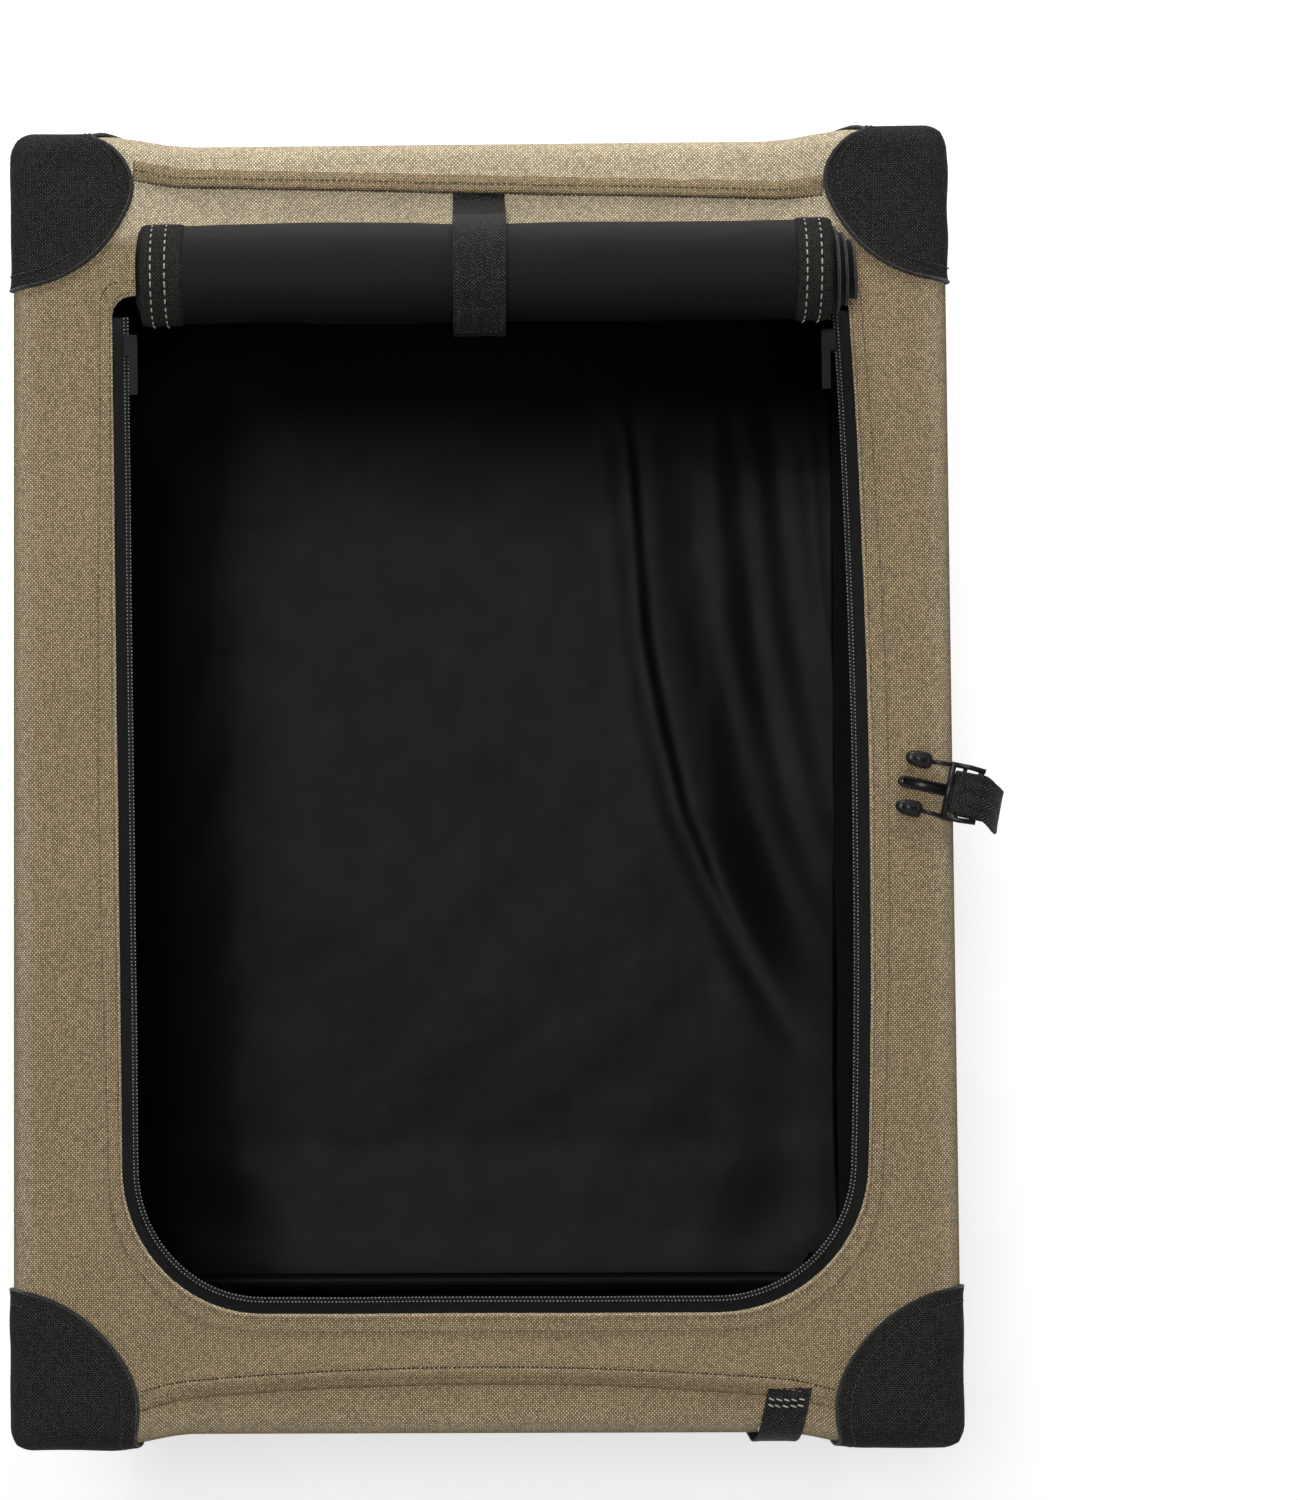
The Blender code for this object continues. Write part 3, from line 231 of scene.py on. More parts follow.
def stitches(name, runs, material, length=.0024, pitch=.0034, radius=.00028, slant=0.0):
    """Short threads laid along runs of (points, normals)."""
    n = 5
    turn = np.linspace(0, 2 * math.pi, n, endpoint=False)
    ring = np.stack([np.zeros(n), np.cos(turn), np.sin(turn)], 1)
    shape = np.vstack([[(-.5, 0, 0)], ring + (-.36, 0, 0), ring + (.36, 0, 0), [(.5, 0, 0)]])
    nxt = np.roll(np.arange(n), -1)
    caps = np.vstack([
        np.stack([np.zeros(n, int), 1 + nxt, 1 + np.arange(n)], 1),
        np.stack([np.full(n, 2 * n + 1), n + 1 + np.arange(n), n + 1 + nxt], 1),
    ])
    sides = np.stack([1 + np.arange(n), 1 + nxt, n + 1 + nxt, n + 1 + np.arange(n)], 1)
    verts, tris, quads, count = [], [], [], 0
    for points, normals in runs:
        lengths = run_along(points)
        at = np.arange(pitch / 2, lengths[-1], pitch)
        if not len(at):
            continue
        at = at + rng.normal(0, pitch * .03, len(at))
        spot = at_run(at, lengths, points)
        up = unit(at_run(at, lengths, normals))
        way = unit(at_run(at + pitch / 4, lengths, points) - at_run(at - pitch / 4, lengths, points))
        way = unit(way - up * (way * up).sum(1, keepdims=True))
        beside = np.cross(up, way)
        tilt = slant + rng.normal(0, .05, len(at))[:, None]
        way, beside = unit(way + beside * tilt), unit(beside - way * tilt)
        size = length * (1 + rng.normal(0, .05, len(at)))[:, None, None]
        part = spot[:, None] + shape[None, :, :1] * size * way[:, None]
        part = part + radius * (shape[None, :, 1:2] * up[:, None] + shape[None, :, 2:] * beside[:, None])
        base = count + np.arange(len(at))[:, None, None] * len(shape)
        tris.append((caps[None] + base).reshape(-1, 3))
        quads.append((sides[None] + base).reshape(-1, 4))
        verts.append(part.reshape(-1, 3))
        count += len(at) * len(shape)
    mesh = raw_mesh(name, np.vstack(verts), [np.vstack(tris), np.vstack(quads)])
    return add_object(name, mesh, material)


def tube(name, path, radius, material, sides=8, closed=False):
    """A round cord along a path, with closed ends."""
    ahead = np.roll(path, -1, 0) - np.roll(path, 1, 0)
    if not closed:
        ahead[0], ahead[-1] = path[1] - path[0], path[-1] - path[-2]
    ahead = unit(ahead)
    side = np.cross(ahead[0], Z_WAY if abs(ahead[0][2]) < .9 else Y_WAY)
    across = []
    for way in ahead:
        side = unit(side - way * side.dot(way))
        across.append(side)
    turn = np.linspace(0, 2 * math.pi, sides, endpoint=False)[:, None]
    ring = np.cos(turn) * np.array(across)[:, None] + np.sin(turn) * np.cross(ahead, across)[:, None]
    index = np.arange(len(path) * sides).reshape(len(path), sides)
    rows = np.vstack([index, index[:1]]) if closed else index
    faces = [quads_of(np.hstack([rows, rows[:, :1]]).T)]
    if not closed:
        faces += [index[:1, ::-1], index[-1:]]
    return add_object(name, raw_mesh(name, path[:, None] + radius * ring, faces), material)


# ---------- materials ----------

class Graph:
    """Short calls for the nodes of one material."""

    def __init__(self, name, roughness, specular=.3, metallic=0.0, sheen=0.0, sheen_tint=(1, 1, 1)):
        self.material = bpy.data.materials.new(name)
        self.material.use_nodes = True
        self.nodes = self.material.node_tree.nodes
        self.links = self.material.node_tree.links
        self.put = self.nodes["Principled BSDF"].inputs
        for socket, value in (("Roughness", roughness), ("Specular IOR Level", specular), ("Metallic", metallic),
                              ("Sheen Weight", sheen), ("Sheen Roughness", .4), ("Sheen Tint", (*sheen_tint, 1))):
            self.put[socket].default_value = value

    def node(self, kind, inputs=(), **settings):
        made = self.nodes.new("ShaderNode" + kind)
        for key, value in settings.items():
            setattr(made, key, value)
        for slot, value in dict(inputs).items():
            self.join(value, made.inputs[slot])
        return made

    def join(self, value, socket):
        if isinstance(value, bpy.types.NodeSocket):
            self.links.new(value, socket)
        else:
            socket.default_value = value

    def math(self, operation, *values):
        return self.node("Math", enumerate(values), operation=operation).outputs[0]

    def times(self, a, b):
        return self.math("MULTIPLY", a, b)

    def scaled(self, value, by, add):
        return self.math("MULTIPLY_ADD", value, by, add)

    def mix(self, share, a, b, blend="MIX"):
        a, b = (c if isinstance(c, bpy.types.NodeSocket) else (*c, 1) for c in (a, b))
        made = self.node("Mix", data_type="RGBA", blend_type=blend, clamp_factor=True)
        for slot, value in ((0, share), (6, a), (7, b)):
            self.join(value, made.inputs[slot])
        return made.outputs[2]

    def noise(self, scale, detail=3, roughness=.5):
        vector = self.node("TexCoord").outputs["Object"]
        made = self.node("TexNoise", {"Vector": vector, "Scale": scale, "Detail": detail, "Roughness": roughness})
        return made.outputs["Fac"]

    def speckle(self, a, b):
        """A random value for each cell of a grid, from the cell's two numbers."""
        spot = self.node("CombineXYZ", {0: a, 1: b}).outputs[0]
        return self.node("TexWhiteNoise", {"Vector": spot}, noise_dimensions="2D").outputs["Value"]

    def cloth_uv(self):
        parts = self.node("SeparateXYZ", {0: self.node("UVMap", uv_map="cloth").outputs[0]})
        return parts.outputs[0], parts.outputs[1]

    def bump(self, height, distance, below=None):
        made = self.node("Bump", {"Height": height, "Distance": distance, "Strength": 1.0})
        if below is not None:
            self.join(below, made.inputs["Normal"])
        return made.outputs[0]

    def finish(self, colour, normal, roughness=None):
        self.join(colour, self.put["Base Color"])
        self.join(normal, self.put["Normal"])
        if roughness is not None:
            self.join(roughness, self.put["Roughness"])
        return self.material


def weave(g, u, v, cell):
    """A plain weave's height, a tone that differs from yarn to yarn, and which of the two yarns is on top."""
    a, b = g.math("DIVIDE", u, cell), g.math("DIVIDE", v, cell * 1.12)
    row_a, row_b = g.math("FLOOR", a), g.math("FLOOR", b)
    odd = g.math("FLOORED_MODULO", g.math("ADD", row_a, row_b), 2)
    hump_a, hump_b = (g.math("SINE", g.times(g.math("FRACT", c), math.pi)) for c in (a, b))
    over_a, over_b = (g.times(g.math("POWER", hump, .55), g.scaled(other, .6, .4))
                      for hump, other in ((hump_a, hump_b), (hump_b, hump_a)))
    height = g.math("ADD", g.times(over_a, odd), g.times(over_b, g.math("SUBTRACT", 1, odd)))
    return height, g.speckle(row_a, row_b), odd


def woven(name, dark, light, cell, roughness, specular, sheen, bump, worn_and_lit=None, fleck=.8, cross=.16, rise=1.5):
    """Oxford cloth: yarn by yarn, with flecks and soft patches, yarn tops painted paler as a highlight and the gaps
    darker as painted shade, and a paler colour where marked: wear where it is creased, painted light elsewhere.
    """
    g = Graph(name, roughness, specular, sheen=sheen, sheen_tint=light)
    height, tone, odd = weave(g, *g.cloth_uv(), cell)
    if worn_and_lit:
        wear_and_light = g.node("Attribute", attribute_name="wear_and_light").outputs["Fac"]
        share = g.times(wear_and_light, g.scaled(g.noise(60), .3, .75))
        dark, light = g.mix(share, dark, tuple(part * .34 for part in worn_and_lit)), g.mix(share, light, worn_and_lit)
    # Painted highlight and shade: the colour runs from the dark colour in the weave's gaps to the light colour on its
    # yarn tops
    colour = g.mix(g.math("POWER", height, rise), dark, light)
    patch = g.scaled(g.noise(9), .14, .93)
    level = g.times(g.times(g.scaled(tone, fleck, 1 - fleck / 2), patch), g.scaled(odd, cross, 1 - cross / 2))
    grey = g.node("CombineColor", {0: level, 1: level, 2: level}).outputs[0]
    fuzz = g.times(g.noise(2600, 2), .35)
    return g.finish(g.mix(1.0, colour, grey, "MULTIPLY"), g.bump(g.math("ADD", height, fuzz), bump))


def smooth_cloth(name, colour, pale, cell, roughness, specular, bump):
    """Coated lining cloth: a fine weave under a soft sheen, with faint creases."""
    g = Graph(name, roughness, specular, sheen=.02)
    height, tone, _ = weave(g, *g.cloth_uv(), cell)
    share = g.scaled(g.noise(7, 2), .5, g.times(tone, .12))
    creases = g.bump(g.noise(26, 2, roughness=.4), .0003)
    return g.finish(g.mix(share, colour, pale), g.bump(height, bump, below=creases),
                    g.scaled(g.noise(42), .16, roughness - .08))


def webbing_material(name, dark, light, column=.0042, rib=.0020, yarn=.0006, speck=(.0007, .0010)):
    """Herringbone webbing: slanted ribs that turn back at every column, with their crests painted paler in random
    flecks as painted highlights.
    """
    g = Graph(name, .6, .3, sheen=.04)
    u, v = g.cloth_uv()
    phase = g.math("DIVIDE", g.math("ADD", v, g.math("PINGPONG", u, column)), rib)
    ribs = g.math("POWER", g.math("ABSOLUTE", g.math("SINE", g.times(phase, math.pi))), 2.2)
    yarns = g.math("ABSOLUTE", g.math("SINE", g.times(u, math.pi / yarn)))
    tone = g.speckle(*(g.math("FLOOR", g.math("DIVIDE", c, cell)) for c, cell in zip((u, v), speck)))
    # Painted highlight: the light colour lands on the rib crests, in random flecks
    share = g.times(g.scaled(g.math("POWER", tone, 2.0), .75, .12), g.math("POWER", ribs, 1.3))
    return g.finish(g.mix(share, dark, light), g.bump(g.scaled(yarns, .25, ribs), .0007))


def painted(name, base, pale, roughness, scale, distance, metallic=0.0, specular=.5):
    """Moulded plastic, powder coat or plating, with its grain, haze and small scuffs."""
    g = Graph(name, roughness, specular, metallic)
    haze, scuffs = g.noise(24, 4), g.noise(170, 6, roughness=.7)
    share = g.times(g.times(g.math("POWER", scuffs, 3.0), haze), 2.2)
    return g.finish(g.mix(share, base, pale), g.bump(g.noise(scale, 2), distance),
                    g.scaled(scuffs, .18, roughness - .07))


def mesh_cloth(name, colour, pitch, hole):
    """Knitted window mesh: round holes on a staggered grid."""
    g = Graph(name, .7, .25, sheen=.1)
    u, v = g.cloth_uv()
    b = g.math("DIVIDE", v, pitch * .87)
    shift = g.times(g.math("FLOORED_MODULO", g.math("FLOOR", b), 2), .5)
    a = g.math("ADD", g.math("DIVIDE", u, pitch), shift)
    da, db = (g.math("SUBTRACT", g.math("FRACT", c), .5) for c in (a, b))
    away = g.math("SQRT", g.math("ADD", g.times(da, da), g.times(db, db)))
    g.join(g.math("GREATER_THAN", away, hole), g.put["Alpha"])
    return g.finish(g.mix(g.noise(300, 2), colour, [c * 2 for c in colour]), g.bump(away, .0003))


def thread_material(name, dark, light):
    """Twisted thread."""
    g = Graph(name, .6, .3, sheen=.3)
    twist = g.node("TexWave", {"Scale": 900, "Distortion": 2}, bands_direction="DIAGONAL").outputs["Fac"]
    shade = g.scaled(g.noise(400, 2), .5, g.times(twist, .5))
    return g.finish(g.mix(shade, dark, light), g.bump(twist, .0001))


# For the woven cloths the light colour is a painted highlight on the yarn tops and the dark colour is painted shade in
# the gaps
TAN = woven("tan_oxford", (.020, .013, .005), (.60, .455, .272), .0010, .9, .12, .1, .00028, worn_and_lit=(.95, .80, .56),
            fleck=.6, cross=.8, rise=1.2)
BLACK = woven("black_oxford", (.001, .001, .001), (.075, .072, .066), .00096, .8, .14, .02, .00024,
              worn_and_lit=(.06, .058, .054), fleck=.9, cross=.9, rise=3.0)
LINING = smooth_cloth("black_lining", (.0034, .0034, .0036), (.0072, .0072, .0077), .00035, .46, .22, .00004)
ROLL_CLOTH = smooth_cloth("black_door_cloth", (.0040, .0040, .0040), (.0080, .0078, .0074), .0007, .50, .16, .00010)
WEBBING = webbing_material("black_webbing", (.0012, .0012, .0012), (.13, .125, .118))
TAPE = woven("black_zip_tape", (.002, .002, .002), (.016, .016, .016), .0006, .75, .18, .03, .0001)
NET = mesh_cloth("black_mesh", (.008, .008, .0085), .0021, .33)
STEEL = painted("powder_coated_steel", (.004, .004, .0042), (.012, .012, .0125), .6, 900, .00006, specular=.2)
PLATED = painted("nickel_plate", (.55, .56, .58), (.30, .30, .31), .26, 420, .00002, metallic=1.0)
DARK_PLATED = painted("dark_plate", (.003, .003, .003), (.022, .022, .022), .6, 420, .00002, specular=.25)
PLASTIC = painted("black_acetal", (.008, .008, .009), (.035, .035, .036), .36, 700, .00005, specular=.35)
COIL = painted("black_nylon_coil", (.004, .004, .0045), (.03, .03, .03), .5, 500, .00003, specular=.25)
BROWN_THREAD = thread_material("brown_thread", (.012, .008, .005), (.07, .048, .028))
TAN_THREAD = thread_material("tan_thread", (.11, .08, .04), (.44, .34, .20))
WHITE_THREAD = thread_material("pale_thread", (.50, .48, .43), (.88, .86, .80))
BLACK_THREAD = thread_material("black_thread", (.004, .004, .004), (.04, .04, .04))
GREY_THREAD = thread_material("grey_thread", (.16, .16, .15), (.66, .65, .61))


# ---------- how the pieces move ----------

def place_on(obj, body, slot, *nodes):
    """The body that a piece rides, its material slot, which is not used, and the solids that it stands for."""
    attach(obj, body)
    if nodes:
        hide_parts(*nodes)
    return obj


def top(obj, slot, *nodes):
    return place_on(obj, "top", slot, *nodes)


def flattens(obj, anchor, keep):
    """Gives a piece its own copy of its mesh; the height and the share to keep that it is given are not used."""
    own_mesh(obj)
    return obj


def falls(obj, slot, *nodes, keep=SQUASH_KEEP, anchor=WALL_LOW):
    """Cloth held by the base."""
    return flattens(place_on(obj, "base", slot, *nodes), anchor, keep)


def cloth(name, held, rests_on, *going):
    """Reads the flat coordinates of a sheet's cloth and keeps nothing; the pieces sewn to it are not used."""
    obj = bpy.data.objects[name]
    mesh = obj.data
    corner = np.empty(len(mesh.loops) * 2, np.float32)
    mesh.uv_layers["cloth"].data.foreach_get("uv", corner)
    corner = corner.reshape(-1, 2).astype(float)
    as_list(rests_on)


# ---------- the cover's shape ----------

def bow(x, y):
    """How far the ends of the top pull in between their elbows."""
    share = smooth((ELBOW_END_X + .002 - np.abs(x)) / .052)
    return np.where(y > 0, BOW_REAR, BOW_FRONT) * share


def settle(points):
    """Pulls the ends of the cover in, fully at the top and not at all at the base."""
    points = np.array(points, float)
    x, y, z = points[..., 0], points[..., 1], points[..., 2]
    near_end = smooth((np.abs(y) - .30) / (RAIL_Y - .30))
    high = smooth((z - TRAY_HIGH) / (LID_LOW - TRAY_HIGH))
    points[..., 1] = y - np.sign(y) * bow(x, y) * near_end * high
    return points


def end_seam(x, sign):
    """Where the sewn seam runs across the top at one end."""
    gap = np.where(sign > 0, .033 + .0065 * x / .2, .043 - .012 * (x / .2) ** 2)
    return sign * (COVER_Y - gap)


lid_waves = waves(9, .05, .16)
strip_waves = waves(8, .025, .07)


def over_edges(x, y):
    """Where a flat sheet comes that folds over all four edges, and how far down or up it has turned there."""
    dx, dy = np.maximum(np.abs(x) - RAIL_X, 0), np.maximum(np.abs(y) - RAIL_Y, 0)
    out = np.maximum(dx, dy)
    turn = np.where(dx >= dy, dy / np.maximum(dx, 1e-9), 2 - dx / np.maximum(dy, 1e-9)) * math.pi / 4
    bend = np.minimum(out, ARC_LENGTH)
    reach = EDGE_R * np.sin(bend / EDGE_R)
    px = np.sign(x) * (np.minimum(np.abs(x), RAIL_X) + reach * np.cos(turn))
    py = np.sign(y) * (np.minimum(np.abs(y), RAIL_Y) + reach * np.sin(turn))
    return px, py, EDGE_R - EDGE_R * np.cos(bend / EDGE_R) + (out - bend)


def lid_place(flat):
    """A point of the top, which folds over all four edges, from its flat coordinates."""
    x, y = flat[..., 0], flat[..., 1]
    px, py, down = over_edges(x, y)
    flat_part = smooth((RAIL_X - .012 - np.abs(x)) / .03) * smooth((RAIL_Y - .004 - np.abs(y)) / .03)
    # The soft waves fade near the corners, where the caps lie close
    clear = 1 - smooth((np.abs(x) - .155) / .03) * smooth((np.abs(y) - .265) / .03)
    z = COVER_TOP - down + flat_part * (.0007 * ripple(x, y, lid_waves) * clear - .0012)
    strip = smooth((np.abs(y) - .31) / .02) * (1 - smooth((np.abs(y) - RAIL_Y) / .01)) * clear
    ridge = np.exp(-(((np.abs(y) - np.abs(end_seam(x, np.sign(y)))) / .010) ** 2))
    z = z + strip * (.0004 * ripple(x, y, strip_waves) + .0018 * ridge)
    return settle(np.stack([px, py, z], -1))


def opening_loop(inset=0.0, closed=True):
    """The edge of the doorway in the top, from its rear left corner round by the front."""
    half, front, rear = OPEN_HALF_X - inset, OPEN_FRONT + inset, OPEN_REAR - (inset if closed else 0)
    r, q = OPEN_FRONT_R - inset, OPEN_REAR_R
    left = line((-half, rear - q), (-half, front + r), 46)
    right = line((half, front + r), (half, rear - q), 46)
    parts = [left, arc(r - half, front + r, r, 180, 270, 18), line((r - half, front), (half - r, front), 26),
             arc(half - r, front + r, r, 270, 360, 18), right]
    if closed:
        parts += [arc(half - q, rear - q, q, 0, 90, 4), line((half - q, rear), (q - half, rear), 36),
                  arc(q - half, rear - q, q, 90, 180, 4)]
    loop = chain(*parts)
    if closed:
        loop = loop[:-1]
    x, y = loop[:, 0], loop[:, 1]
    right_edge = .2218 - .0075 * ((y + .03) / .287) ** 2
    left_edge = .2122 - .0046 * (.257 - y) / .436
    warp = np.where(x > 0, right_edge, left_edge) / OPEN_HALF_X
    return np.stack([x * warp, y], 1)


def outer_target(points, half_x, half_y):
    """Where the ring's lines from the doorway meet a rectangle: out sideways, or out over an end."""
    x, y = points[:, 0], points[:, 1]
    turn = np.arctan2(y / half_y, x / half_x)
    reach = 1 / np.maximum(np.abs(np.cos(turn)), np.abs(np.sin(turn)))
    return np.stack([half_x * reach * np.cos(turn), half_y * reach * np.sin(turn)], 1)


def ring_grid(inner, outer, hem, rest):
    """Lines from an inner loop to an outer one: hem distances first, then even shares."""
    way = unit(outer - inner)
    length = np.linalg.norm(outer - inner, axis=1)
    after = [hem[-1] + (length - hem[-1]) * share for share in np.linspace(0, 1, rest + 1)[1:]]
    return np.stack([inner + way * d for d in hem] + [inner + way * d[:, None] for d in after], 1)


# ---------- top cover ----------

HEM = (0, .0008, .002, .004, .006, .008, .010, .0112, .0124, .014, .017)
skirt_reach = ARC_LENGTH + (COVER_TOP - EDGE_R - LID_LOW)
loop = opening_loop()
flat_edge = outer_target(loop, RAIL_X, RAIL_Y)
full_edge = outer_target(loop, RAIL_X + skirt_reach, RAIL_Y + skirt_reach)
outside_part = np.stack([flat_edge + (full_edge - flat_edge) * s for s in np.linspace(0, 1, 15)[1:]], 1)
lid_flat = np.concatenate([ring_grid(loop, flat_edge, HEM, 9), outside_part], 1)

# The doorway's folded hem stands a little proud of the cloth beyond it
lid_points = lid_place(lid_flat)
hem = np.array(HEM)
lid_points[:, :len(hem), 2] += .0006 * (1 - smooth((hem - .0105) / .003)) - .0008 * (1 - smooth(hem / .0012))
# Paler where the cloth is worn, creased over a rail and at the hem's fold, and painted paler in the strip behind the
# roll as a painted highlight for the light falling on it from behind
lid_wear_and_light = .35 * np.exp(-(((np.abs(lid_flat) - (RAIL_X, RAIL_Y) - .008) / .007) ** 2)).max(-1)
lid_wear_and_light[:, :2] = .5
# Painted light: the strip behind the roll is made paler for the light from behind, not for wear
lid_wear_and_light = np.maximum(lid_wear_and_light, smooth((lid_flat[..., 1] - .312) / .012))
top(skin("top_cover", lid_points, lid_flat, TAN, LINING, closed=True, wear_and_light=lid_wear_and_light), "tan_cloth", "top_panel")

# A fold of cloth is sewn down along each end's seam: distances out from the seam, and the height it adds there
SEAM_HALF_X = .200
SEAM_WIDTHS, SEAM_RISE = np.array(((0, -.0002), (.0005, .0013), (.0012, .0019), (.003, .0018), (.006, .0014),
                                   (.009, .0009), (.012, .0001))).T
seam_runs, joint_runs = [], []
for sign, end in ((-1, "front"), (1, "rear")):
    x = np.linspace(-SEAM_HALF_X, SEAM_HALF_X, 120)
    seam_y = end_seam(x, sign)
    wide_x, out = grid(x, SEAM_WIDTHS)
    flat = np.stack([wide_x, seam_y[:, None] + sign * out], -1)
    points = lid_place(flat)
    points[..., 2] += SEAM_RISE * smooth((SEAM_HALF_X - np.abs(wide_x)) / .022)
    top(skin(f"end_seam_{end}", points, flat, TAN, thickness=.0007), "tan_cloth")
    seam_runs.append(on(lid_place, np.stack([x, seam_y + sign * .0062], 1), .0019))
    joint_runs.append(on(lid_place, np.stack([x, seam_y - sign * .0001], 1), .0012))

for distance in (.0024, .0110):
    seam_runs.append(on(lid_place, closed_run(loop + unit(flat_edge - loop) * distance), .0011))
top(stitches("top_stitching", seam_runs, TAN_THREAD, length=.0025, pitch=.0034, radius=.0004), "tan_cloth")
top(stitches("seam_stitching", joint_runs, BROWN_THREAD, length=.0019, pitch=.0026, radius=.00042), "tan_cloth")

# ---------- rails that bow with the ends ----------

for sign, end, amount in ((-1, "front", RAIL_BOW_FRONT), (1, "rear", RAIL_BOW_REAR)):
    low, high = (np.array(c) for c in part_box(f"top_rail_{end}"))
    x = np.linspace(low[0], high[0], 61)
    middle = (low + high) / 2
    inset = amount * np.clip(1 - (x / ELBOW_END_X) ** 4, 0, 1)
    path = np.stack([x, middle[1] - sign * inset, np.full_like(x, middle[2])], 1)
    top(tube(f"bowed_rail_{end}", path, (high[2] - low[2]) / 2, STEEL, sides=20), "steel", f"top_rail_{end}")

# ---------- zip ----------

tape_outer = opening_loop(-.004, closed=False)
tape_inner = opening_loop(.009, closed=False)
tape_shares = np.linspace(0, 1, 9)
tape_flat = tape_outer[:, None] + (tape_inner - tape_outer)[:, None] * tape_shares[None, :, None]
tape_points = lid_place(tape_flat)
tape_points[..., 2] -= .0016 + .0006 * tape_shares[None]
top(skin("zip_tape", tape_points, tape_flat, TAPE, thickness=.0007), "zip_tape", "top_zip_tape")

coil_points = lid_place(resample(opening_loop(.0078, closed=False), .004))
coil_points[:, 2] -= .0012
up = np.tile(Z_WAY, (len(coil_points), 1))
top(tube("zip_cord", coil_points - Z_WAY * .0004, .0011, COIL), "zip_tape")
top(stitches("zip_coil", [(coil_points + Z_WAY * .0004, up)], COIL, length=.0024, pitch=.00125, radius=.00052,
             slant=30.0), "zip_tape")
beside = np.cross(unit(np.gradient(coil_points, axis=0)), up)
dots = [(coil_points + beside * d + Z_WAY * .0009, up) for d in (-.0012, .0010)]
top(stitches("zip_stitching", dots, GREY_THREAD, length=.0011, pitch=.0021, radius=.00038), "zip_tape")

# ---------- corner caps ----------

CAP_R = .0144
CAP_HIGH = .533
CAP_HALF = np.array((.273, .381, CAP_HIGH / 2))
# Degrees round a corner and how far the cap reaches there, on the top at each end and on the sides
TABLES = {
    "rear": ((0, .047), (8, .058), (15, .0735), (24, .081), (41, .0855), (58, .090), (75, .0925), (90, .093)),
    "front": ((0, .071), (10, .0755), (22, .0805), (36, .084), (50, .0865), (65, .0895), (80, .0925), (90, .093)),
    "side": ((0, .093), (15, .0935), (30, .0945), (45, .0955), (60, .0945), (75, .0935), (90, .093)),
}


def cap_shape(end):
    """Directions and reaches of a cap round its corner, as a closed loop over its three faces."""
    last = TABLES[end][0][1]
    across = ((0, .093), (20, .0925), (45, .088), (62, .082), (78, last + .006), (90, last))
    angles = np.linspace(0, 90, 26, endpoint=False)
    c, s, none = np.cos(np.radians(angles)), np.sin(np.radians(angles)), np.zeros(26)
    ways = np.concatenate([np.stack(way, 1) for way in ((c, s, none), (none, c, s), (s, none, c))])
    reaches = np.concatenate([np.interp(angles, *zip(*table)) for table in (TABLES[end], TABLES["side"], across)])
    for _ in range(3):
        reaches = (np.roll(reaches, 1) + 2 * reaches + np.roll(reaches, -1)) / 4
    return ways, reaches


def cap_place(q, sign_x, sign_y, level, lift=0.0):
    """A point on the rounded corner from its distances in from the sharp corner."""
    sharp = CAP_HALF - q
    inner = np.minimum(sharp, CAP_HALF - CAP_R)
    ball = unit(sharp - inner)
    round_share = (np.minimum(sharp - (CAP_HALF - CAP_R), CAP_R).clip(0) / CAP_R).prod(-1, keepdims=True)
    point = inner + ball * (CAP_R + lift + .0012 * round_share)
    point = point * (sign_x, sign_y, 1 if level == "top" else -1)
    point[..., 2] += CAP_HIGH / 2
    return settle(point) if level == "top" else point


def cap_moves(obj, level, *nodes):
    """A cap keeps to the top or the base."""
    if level == "top":
        return flattens(top(obj, "black_cloth", *nodes), CAP_HIGH, .5)
    return falls(obj, "black_cloth", *nodes, keep=.5, anchor=0)


cap_waves = waves(10, .03, .09)
cap_rows = {"top": [], "base": []}
corners = [(level, end, side, (x, y)) for level in cap_rows for x, side in ((-1, "left"), (1, "right"))
           for y, end in ((-1, "front"), (1, "rear"))]
for level, end, side, signs in corners:
    ways, reaches = cap_shape(end)
    shares = np.concatenate([np.linspace(.03, .93, 24), (.96, .98, .99, 1.0)])
    q = ways[:, None] * reaches[:, None, None] * shares[None, :, None]
    seed = np.dot(signs, (3.1, 1.7)) + (5 if level == "top" else 0)
    lift = .00045 * ripple(q[..., 0] + q[..., 2] + seed, q[..., 1] + seed, cap_waves)
    edge_roll = .0005 * np.exp(-(((shares - .975) / .012) ** 2))[None]
    points = cap_place(q, *signs, level, (lift + edge_roll)[..., None])
    points[..., 2] = np.maximum(points[..., 2], 0)
    flat = np.stack([q[..., 0] + q[..., 2] * .6, q[..., 1] - q[..., 2] * .8], -1)
    wear_and_light = np.exp(-((q.max(-1) / .02) ** 2)) * .8 + .25 * (shares > .97)[None]
    pole = (cap_place(np.zeros((1, 3)), *signs, level), np.zeros((1, 2)))
    name = f"{level}_corner_{end}_{side}"
    cap_moves(skin(name, points, flat, BLACK, closed=True, wear_and_light=wear_and_light, pole=pole), level, f"{level}_cap_{end}_{side}")
    row, above = (closed_run(cap_place(ways * (reaches - .0085)[:, None], *signs, level, d)) for d in (.0003, .0013))
    cap_rows[level].append((row, unit(above - row)))
    edge = cap_place(ways * (reaches - .0004)[:, None], *signs, level, -.0002)
    cap_moves(tube(f"{name}_binding", edge, .0011, BLACK_THREAD, sides=7, closed=True), level)
for level, runs in cap_rows.items():
    cap_moves(stitches(f"{level}_corner_stitching", runs, BLACK_THREAD, pitch=.0033), level)

# ---------- rolled top door ----------

ROLL_HALF_Y, ROLL_HALF_Z = .0315, .025
ROLL_CORE_Y, ROLL_CORE_Z = .015, .0095
ROLL_TURNS, ROLL_T = 4, .0012
roll_waves = waves(8, .05, .2)


